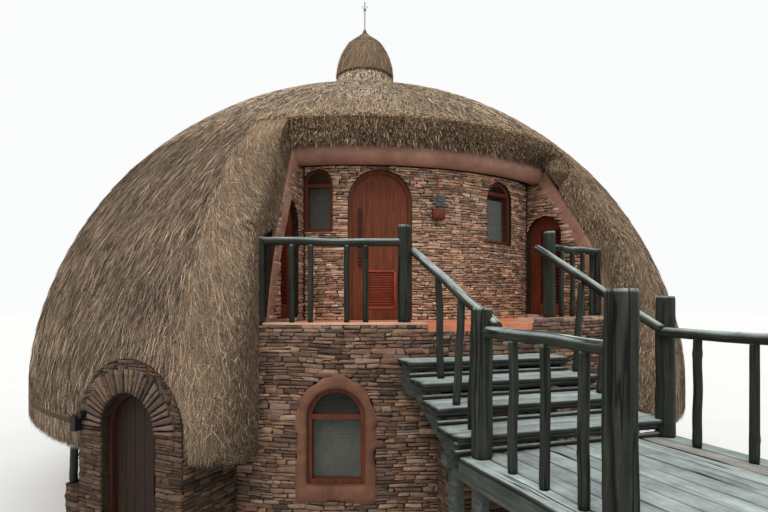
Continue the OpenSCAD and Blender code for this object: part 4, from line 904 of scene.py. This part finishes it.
# ------------ plaster round the lower window
def window_surround():
    """A soft roll of plaster from the window's edge to the stones."""
    mid = 0.55

    def reach(half, phi):
        """How far a ray from the middle stays inside a shape."""
        lo, hi = 0.0, 1.6
        for _ in range(30):
            t = (lo + hi) / 2
            q = half(mid + t * cos(phi))
            lo, hi = (t, hi) if q is not None and abs(t * sin(phi)) < q else (lo, t)
        return lo
    rings, tints = [], []
    for phi in np.linspace(0, 2 * pi, 121)[:-1]:
        a = reach(lambda z: arch_half(z, WINDOW_W, WINDOW_H), phi)
        b = reach(lambda z: surround_half(z + 0.2), phi)
        pale = 1 + max(0.0, 0.75 * sin(phi * 2.5 + 4.0) + 0.5 * sin(phi * 9))
        # the reveal is tinted darker going into the window: painted shade
        tints += [(f,) * 3 for f in (0.7, 0.8, 1, 1, 0.95, 1)]
        tints += [(pale * 1.1, pale * 1.08, pale * 1.05), (pale,) * 3]
        b += 0.016 * sin(phi * 5 + 1) + 0.012 * sin(phi * 11 + 2) + 0.006 * sin(phi * 23)
        out = 0.034 + 0.007 * sin(phi * 7) + 0.004 * sin(phi * 17 + 1)
        for t, h in ((a, -0.12), (a, -0.004), (a + 0.012, 0.016), (a + (b - a) * 0.3, out),
                     (a + (b - a) * 0.65, out * 1.04), (b - 0.024, out * 0.8), (b, 0.012), (b, -0.02)):
            rings.append(about(WINDOW_A + t * sin(phi) / WALL_R, 0, -(WALL_R + h),
                               WINDOW_FOOT + mid + t * cos(phi)))
    m = 8       # points in each profile
    i = np.arange(0, len(rings), m)[:, None]
    j, nx = np.arange(m - 1), (i + m) % len(rings)
    h = Heap()
    h.add(rings, np.stack([i + j, i + j + 1, nx + j + 1, nx + j], -1).reshape(-1, 4), tint=tints)
    h.make("window_surround", "ochre_plaster", "sill", smooth=True, replaces=("lower_window_surround",))


window_surround()


# ------------ poles
def frame_of(v):
    """Three directions at right angles, the last along v."""
    z = unit(np.asarray(v, float))
    x = unit(np.cross(z, [0.31, 0.17, 0.93] if abs(z[2]) < 0.9 else [1, 0.1, 0]))
    return x, np.cross(z, x), z


def turned(a):
    """Angles brought back to between -pi and pi."""
    return np.angle(np.exp(1j * a))


def pole(heap, p, q, r, sides=20, step=0.05, crook=0.12, tone=1.0, slant=0.06, cracks=()):
    """A peeled trunk: a little crooked, tapering, with knots and worn ends. Each crack has its
    angle, its start and end as parts of the length, and its depth as a part of the radius."""
    p, q = np.asarray(p, float), np.asarray(q, float)
    x, y, z = frame_of(q - p)
    ln = np.linalg.norm(q - p)
    k = max(6, int(ln / step))
    t = np.linspace(0, 1, k)
    ends = np.sin(np.pi * t)
    ph = rng.uniform(0, 6.28, 6)
    cx = r * crook * ends * (np.sin(t * 5 + ph[0]) + 0.5 * np.sin(t * 11 + ph[1]))
    cy = r * crook * ends * (np.sin(t * 4.3 + ph[2]) + 0.5 * np.sin(t * 13 + ph[3]))
    a = np.linspace(0, 2 * np.pi, sides, endpoint=False)
    lobes = 1 + 0.02 * np.sin(2 * a + ph[4])[None, :] + 0.015 * np.sin(5 * a + ph[5] + 3 * t[:, None])
    rr = r * (1 - 0.06 * t)[:, None] * lobes
    for _ in range(int(ln / 0.45) + 1):
        kt, ka, kh = rng.uniform(0.05, 0.95), rng.uniform(0, 6.28), rng.uniform(0.06, 0.16)
        knot = np.exp(-((t - kt) * ln / (0.5 * r + 0.012)) ** 2)[:, None]
        rr = rr + r * kh * knot * np.exp(-(turned(a - ka) / 0.42) ** 2)[None, :]
    dark = np.zeros((k, sides))
    for ca, t0, t1, deep in cracks:
        run = ca + 0.10 * np.sin(t * 7 + ph[1]) + 0.05 * np.sin(t * 23 + ph[2])
        wide = (1.4 + 5 * deep) * pi / sides
        gap = np.exp(-(turned(a[None, :] - run[:, None]) / wide) ** 2)
        live = (rise(t, t0, 0.05) * rise(t, t1, -0.05))[:, None]
        rr = rr * (1 - deep * gap * live)
        dark = np.maximum(dark, gap ** 1.5 * live * min(1, deep * 6))
    rr[[0, -1]] *= 0.93
    c = p + z * (t * ln)[:, None] + x * cx[:, None] + y * cy[:, None]
    rings = c[:, None, :] + rr[..., None] * (np.cos(a)[None, :, None] * x + np.sin(a)[None, :, None] * y)
    tilt = rng.uniform(-slant, slant, 2)
    rings[-1] += z * (rr[-1] * (np.cos(a) * tilt[0] + np.sin(a) * tilt[1]))[:, None]
    rings[-2] += z * min(0.01, ln * 0.01)
    off = rng.uniform(0, 50)
    g = np.stack(np.broadcast_arrays(r * np.cos(a), r * np.sin(a), (t * ln)[:, None]), -1) + off
    col = np.ones((k, sides, 3)) * tone * rng.uniform(0.85, 1.15)
    # the cracks are tinted dark: painted shade in the crevices
    col *= (1 - np.clip(dark * 1.3, 0, 0.93))[..., None]
    col = np.vstack([col.reshape(-1, 3), col[0].mean(0), col[-1].mean(0)])
    sweep(heap, rings, col, g.reshape(-1, 3))


DECK_AT, DECK_TURN = (0.28, -6.98), rad(5.5)


def deck_point(x, s, z=0.0):
    """A place in the deck's own frame, s away from the stair."""
    return np.array([*DECK_AT, 0]) + about(DECK_TURN, x, -s, z)


def finish_poles(heap, name, node):
    heap.make(name, "dark_pole", "poles", smooth=True, replaces=(node,))


# each post: its place on the deck, thickness, height, and where its long crack shows in the view
hp = Heap()
for x, s, d, top, side in ((-1.043, -0.095, 0.188, 1.34, 0.75), (1.129, 0.013, 0.188, 1.45, 0.3),
                           (1.129, 1.563, 0.188, 1.45, -0.4), (1.129, 3.113, 0.188, 1.45, 0.5),
                           (-1.043, 1.445, 0.21, 1.477, 0.62)):
    foot = deck_point(x, s, DECK_Z - 0.01)
    ax, ay, az = frame_of([0, 0, 1])
    view = unit((np.array(EYE) - foot) * [1, 1, 0])
    left = np.cross(view, az)
    ca, cb = (atan2(v @ ay, v @ ax) for v in (view + left * side, view - left * 0.55))
    pole(hp, foot, deck_point(x, s, DECK_Z + top), d / 2 * 1.02, 44, 0.035, crook=0.05,
         cracks=((ca, 0.02, 0.97, 0.25 if d > 0.2 else 0.1), (cb, 0.45, 1.0, 0.08)))
# the newels at the stair head, and the thinner posts at the terrace's corners
for x, y, low, top, r, sides in ((-0.820, -5.0296, 0.01, 1.243, 0.0835, 28),
                                 (1.2937, -5.0386, 0.05, 1.243, 0.0835, 28),
                                 (-2.5679, -4.6250, -0.005, 1.08, 0.061, 24),
                                 (2.4161, -4.6216, 0.055, 1.08, 0.061, 24)):
    pole(hp, (x, y, TERRACE_Z + low), (x, y, TERRACE_Z + top), r, sides, crook=0.05)
finish_poles(hp, "pole_posts", "posts")

# both ends of each rail: left and right of the terrace, of the stair, and of the deck
RAILS = np.array([
    ((-2.568, -4.625, 4.025), (-0.820, -5.030, 4.025)), ((1.294, -5.039, 4.025), (2.416, -4.622, 4.025)),
    ((-0.690, -4.990, 3.923), (-0.690, -7.125, 3.065)), ((1.164, -4.929, 4.018), (1.290, -6.955, 2.997)),
    ((-0.767, -6.985, 3.015), (-0.620, -8.518, 2.995)), ((1.317, -6.885, 2.972), (1.614, -9.970, 2.972))])
hr = Heap()
for p, q in RAILS:
    pole(hr, p, q, 0.0525, 24, crook=0.16, tone=1.12, slant=0.12)
finish_poles(hr, "pole_rails", "handrails")


def on_rail(rail, y):
    p, q = rail
    return p + (q - p) * (y - p[1]) / (q[1] - p[1])


def toward(rail, ang):
    """Where a rail crosses a direction from the dome's axis."""
    p, v = rail[0], rail[1] - rail[0]
    e = about(ang, 0, -1, 0)
    return p + v * (p[1] * e[0] - p[0] * e[1]) / (v[0] * e[1] - v[1] * e[0])


hb = Heap()
IN_RAIL = np.array([0, 0, 0.03])
for rail, low, angles in ((RAILS[0], 0.015, (-24.9, -22.4, -17.4, -14.75)),
                          (RAILS[1], 0.055, (17.5, 20.5, 23.4, 26.1))):
    for a in angles:
        top = toward(rail, rad(a))
        pole(hb, (top[0], top[1], TERRACE_Z + low), top - IN_RAIL, 0.036, 16, crook=0.13)
TREADS = (2.602, 2.424, 2.246, 2.068)
for rail, feet in (
        (2, ((-0.660, -5.81, TREADS[1]), (-0.750, -6.41, TREADS[2]), (-0.725, -6.70, TREADS[3]))),
        (3, ((1.124, -5.81, TREADS[1]), (1.104, -6.26, TREADS[2]))),
        (4, [deck_point(-1.048, s, DECK_Z) for s in (0.36, 0.745, 1.14)]),
        (5, [deck_point(1.034, s, DECK_Z) for s in (0.43, 0.95, 1.35, 2.1, 2.6)])):
    for f in feet:
        pole(hb, np.array(f) - [0, 0, 0.005], on_rail(RAILS[rail], f[1]) - IN_RAIL, 0.041, 18, crook=0.14)
finish_poles(hb, "pole_balusters", "balusters")

# each tread: its top, the front of its nose, its right end, and the top of what is below
NOSE, GOING, TREAD_LEFT, TREAD_RIGHT, SPLAY = -5.725, 0.4, -1.01, 1.118, 0.105
STAIR = [(top, NOSE - GOING * i, TREAD_RIGHT + SPLAY * i, (*TREADS[1:], DECK_Z)[i])
         for i, top in enumerate(TREADS)]
TREAD_THICK, RISER_R = 0.055, 0.0245
hl = Heap()
for top, nose, right, low in STAIR:
    for z in (top - TREAD_THICK - RISER_R, low + RISER_R):
        pole(hl, (-0.985, nose + 0.045, z), (right - 0.035, nose + 0.045, z), RISER_R, 14, 0.06,
             crook=0.15, tone=0.95)
finish_poles(hl, "riser_poles", "riser_logs")
hq = Heap()
pole(hq, porch_point(-1.02, 0.06, 1.035), porch_point(-1.02, 0.06, 1.5), 0.0475, 18)
finish_poles(hq, "eave_pole", "porch_post")


# ------------ boards
def plank(heap, at, along, across, ln, wid, thick, tone, rough_end, lift=0.0):
    """A worn plank from a lower corner: soft edges, uneven ends and a slight cup."""
    at, along, across, up = (np.asarray(v, float) for v in (at, along, across, (0, 0, 1)))
    k = max(4, int(ln / 0.12))
    t = np.linspace(0, ln, k)
    e = min(0.009, thick * 0.25)
    w, h = np.array([(0, e), (e, 0), (wid - e, 0), (wid, e), (wid, thick - e), (wid - e * 1.3, thick),
                     (wid * 0.66, thick - 0.002), (wid * 0.33, thick - 0.002), (e * 1.3, thick),
                     (0, thick - e)]).T
    ph = rng.uniform(0, 6.28, 3)
    side = 0.0025 * np.sin(t * 3.1 + ph[0]) + 0.002 * np.sin(t * 7.7 + ph[1])
    wave = lift + 0.002 * np.sin(t * 2.3 + ph[2])
    tt = np.broadcast_to(t[:, None], (k, len(w))).copy()
    tt[0] += rng.uniform(0, rough_end, len(w))
    tt[-1] -= rng.uniform(0, rough_end, len(w))
    rings = (at + along * tt[..., None] + across * (w[None, :] + side[:, None])[..., None]
             + up * (h[None, :] + (h > thick / 2) * wave[:, None])[..., None])
    off = rng.uniform(0, 60)
    g = np.stack(np.broadcast_arrays(w, h, tt), -1) + off
    # the undersides, fronts and ends are tinted darker than the top
    dim = np.array([0.45, 0.45, 0.45, 0.45, 0.7, 1, 1, 1, 1, 0.7])
    tone = np.vstack([np.tile(dim[:, None] * tone, (k, 1)), tone * 0.6, tone * 0.6])
    sweep(heap, rings, tone, g.reshape(-1, 3))


def board_tone():
    if rng.random() < 0.12:
        return np.array([1.0, 0.86, 0.82]) * rng.uniform(0.85, 1.0)
    return np.array([1, 1, 1]) * rng.uniform(0.82, 1.14)


BOARDS, DECK_X0, DECK_X1, SLIT = 11, -1.23, 1.25, 0.009
DECK_START, DECK_LONG, BOARD_THICK = -0.185, 3.415, 0.045
PITCH = (DECK_X1 - DECK_X0 + SLIT) / BOARDS
hd = Heap()
for i in range(BOARDS):
    plank(hd, deck_point(DECK_X0 + i * PITCH, DECK_START, DECK_Z - BOARD_THICK),
          about(DECK_TURN, 0, -1, 0), about(DECK_TURN, 1, 0, 0), DECK_LONG, PITCH - SLIT, BOARD_THICK,
          board_tone(), 0.02, rng.uniform(-0.002, 0.0))
hd.make("worn_deck_boards", "grey_board", "boards", replaces=("deck_boards",))

ht = Heap()
TREAD_DEEP, SPLIT = 0.455, 0.008        # each tread is two planks
PLANK = (TREAD_DEEP - SPLIT) / 2
for top, nose, right, low in STAIR:
    for k in (0, 1):
        a, b = TREAD_LEFT + rng.uniform(0, 0.02), right - rng.uniform(0, 0.02)
        plank(ht, (a, nose + k * (PLANK + SPLIT), top - TREAD_THICK), (1, 0, 0), (0, 1, 0), b - a, PLANK,
              TREAD_THICK, board_tone(), 0.03)
ht.make("worn_treads", "grey_board", "boards", replaces=("stair_treads",))

k = Mat("frame_beam", 0.65, 0.35)
c = k.mapping(k.at, turn=-DECK_TURN)
grain = k.noise(k.mapping(c, (24, 1.5, 24)), 1.0, 6, 0.65, 0.6)
col = k.tones(grain, (0.28, 0.52, 0.78), ((34, 37, 33), (60, 65, 59), (92, 98, 91)))
k.finish(k.shade(col, k.noise(c, 6, 5, 0.65), (0.3, 0.6), (0.7, 1.2), 0.8), k.bump(grain, 0.5, 0.006))
wear("frame_beam", "deck_frame", "stair_bearers")


# ------------ joinery
def blinds(heap, a, y, w, high, foot):
    """The slats of one blind: angle, distance from the dome's axis, width, height and foot."""
    z = 0.0
    while z < high:
        pts = []
        for dz, dy in ((0, 0), (0.005, -0.004), (0.011, -0.004), (0.016, 0)):
            for x in (-w / 2 - 0.03, w / 2 + 0.03):
                pts.append(about(a, x, y + dy + rng.uniform(-0.001, 0.001), foot + z + dz))
        heap.add(pts, [[0, 1, 3, 2], [2, 3, 5, 4], [4, 5, 7, 6]])
        z += 0.017


# they hang a little behind the faces of the walls
dim_blinds, blind_painted_sky_reflection = Heap(), Heap()
blinds(dim_blinds, WINDOW_A, -WALL_R + 0.19, WINDOW_W, 0.83, WINDOW_FOOT)
# the right window's blind is paler: a painted reflection of the sky on its glass
for heap, (a, w, _, foot), high in zip((dim_blinds, blind_painted_sky_reflection), WINDOWS, (0.72, 0.74)):
    blinds(heap, a, -NICHE_R + 0.18, w, high, TERRACE_Z + foot)
dim_blinds.make("window_blinds", "reed_blind", "glass")
blind_painted_sky_reflection.make("blind_painted_sky_reflection", "blind_painted_sky_reflection", "glass")


def circle(n):
    """The cosines and sines of n places round a circle."""
    return [(cos(a), sin(a)) for a in np.linspace(0, 2 * pi, n + 1)[:-1]]


# the turned pull of the terrace door: a row of beads with a plain grip in its middle
PULL_X, PULL_Y, PULL_Z, PULL_LONG, BEAD = -0.30, -3.8725, 3.80, 0.86, 0.052
h = Heap()
z = np.linspace(0, PULL_LONG, 130)
bead = np.abs(np.sin(z * pi / BEAD)) ** 0.6
grip = rise(np.abs(z - PULL_LONG / 2), 0.13, -0.02)
r = 0.012 + 0.014 * bead * (1 - grip) + 0.008 * grip
r[[0, -1]] = 0.004
sweep(h, [[about(DOOR_A, PULL_X + q * c, PULL_Y + q * s, PULL_Z + zz) for c, s in circle(14)]
          for zz, q in zip(z, r)])
h.make("turned_pull", "turned_pull", "joinery", smooth=True)

# the fine slats low in the terrace door's leaf, and their frame
h = Heap()
SLATS, SLATS_LOW, SLATS_HIGH = 21, 3.19, 3.72
for i in range(SLATS):
    zc = SLATS_LOW + (i + 0.5) * (SLATS_HIGH - SLATS_LOW) / SLATS
    sec = ((-3.829, zc - 0.010), (-3.826, zc - 0.012), (-3.808, zc + 0.007), (-3.811, zc + 0.009))
    sweep(h, [[about(DOOR_A, x, y, zz) for y, zz in sec] for x in (-0.219, -0.07, 0.07, 0.219)],
          np.ones(3) * rng.uniform(0.9, 1.1))
for x0, x1, z0, z1 in ((-0.245, -0.215, 3.165, 3.745), (0.215, 0.245, 3.165, 3.745),
                       (-0.245, 0.245, 3.165, 3.193), (-0.245, 0.245, 3.717, 3.745)):
    sweep(h, [[about(DOOR_A, x, y, zz) for x, zz in ((x0 + e, z0 + e), (x1 - e, z0 + e),
                                                     (x1 - e, z1 - e), (x0 + e, z1 - e))]
              for y, e in ((-3.820, 0), (-3.833, 0), (-3.836, 0.003))])
h.make("fine_louvres", "red_slat", "joinery")

# the dark board that closes the round head of the left upper window
h = Heap()
sweep(h, [[about(WINDOWS[0][0], r * cos(q), y, 5.044 + r * sin(q))
           for q in np.linspace(0, pi, 25)]
          for y, r in ((-3.846, 0.172), (-3.851, 0.170), (-3.8535, 0.160))])
h.make("boarded_head", "dark_door", "joinery")


# ------------ the wall lamp
def on_wall(x, y, z):
    """A place over the niche's wall, y out from it."""
    return about(rad(1.5), x, -NICHE_R - y, z)


h = Heap()
pole(h, on_wall(-0.02, 0.072, 5.16), on_wall(0.0, 0.075, 4.86), 0.010, 10, 0.03, 0.02)
pole(h, on_wall(-0.02, -0.005, 5.15), on_wall(-0.02, 0.078, 5.15), 0.010, 10, 0.03, 0.02)
h.make("lamp_arm", "worn_copper", "metal", smooth=True, replaces=("wall_lamp",))

# a flower of dull metal: twelve petals round a button
h = Heap()
LAMP_Y, LAMP_Z = 0.085, 4.80
for c, s in circle(12):
    sweep(h, [[on_wall(t * c - side * wide * s, LAMP_Y + out + dy, LAMP_Z + (t * s + side * wide * c))
               for side, dy in ((-1, 0.0), (0, 0.005), (1, 0.0), (0, -0.003))]
              for t, wide, out in ((0.022, 0.006, 0.0), (0.055, 0.016, 0.012), (0.090, 0.019, 0.012),
                                   (0.118, 0.002, 0.0))])
sweep(h, [[on_wall(r * c, LAMP_Y + d, LAMP_Z + r * s) for c, s in circle(19)]
          for d, r in ((-0.02, 0.02), (0.0, 0.03), (0.016, 0.028), (0.026, 0.014))])
h.make("lamp_flower", "dull_metal", "metal")

# a small box of fired clay under it
h = Heap()
W, E = 0.095, 0.012
sec = ((-W + E, 0), (W - E, 0), (W, E), (W, W - E), (W - E, W), (-W + E, W), (-W, W - E), (-W, E))
sweep(h, [[on_wall(x * s, y * s + 0.001, z) for x, y in sec]
          for z, s in ((4.52, 0.9), (4.528, 1.0), (4.655, 1.0), (4.662, 0.94))])
h.make("lamp_box", "fired_clay", "metal")


# ------------ floor and light
bpy.ops.mesh.primitive_circle_add(vertices=128, radius=140, fill_type="NGON", location=(0, 0, -0.002))
floor = bpy.context.object
floor.name = "floor"
floor.data.materials.append(M["studio_floor"])

# the sky lights the hut; the camera sees plain white, directly, in gloss and through glass
world = bpy.data.worlds.new("world")
bpy.context.scene.world = world
world.use_nodes = True
world.node_tree.nodes.clear()
w = Nodes(world.node_tree)
ray = w.node("LightPath").outputs
seen = w.math("MAXIMUM", ray["Is Camera Ray"], ray["Is Glossy Ray"])
seen = w.math("MAXIMUM", seen, ray["Is Transmission Ray"])
up = w.node("SeparateXYZ", {"Vector": w.node("TexCoord").outputs["Generated"]}).outputs[2]
sky = w.node("Background", {0: w.ramp(up, (0.0, (0.36, 0.37, 0.37)), (0.9, (1.16, 1.2, 1.25))), 1: 1.0})
white = w.node("Background", {0: (0.96, 0.97, 0.975, 1), 1: 1.0})
mix = w.node("MixShader", {0: seen, 1: sky.outputs[0], 2: white.outputs[0]})
w.node("OutputWorld", {"Surface": mix.outputs[0]})

# elevation, direction, strength, width of the sun's disc, and colour
for name, elev, azim, energy, size, color in (("key", 56, -40, 1.9, 30, (1.0, 0.975, 0.94)),
                                              ("fill", 30, 45, 0.3, 70, (0.95, 0.98, 1.0)),
                                              ("back", 45, 170, 0.5, 60, (1, 1, 1))):
    li = bpy.data.lights.new(name, "SUN")
    li.energy, li.angle, li.color = energy, rad(size), color
    added(name, li).rotation_euler = (rad(90 - elev), 0, rad(azim))
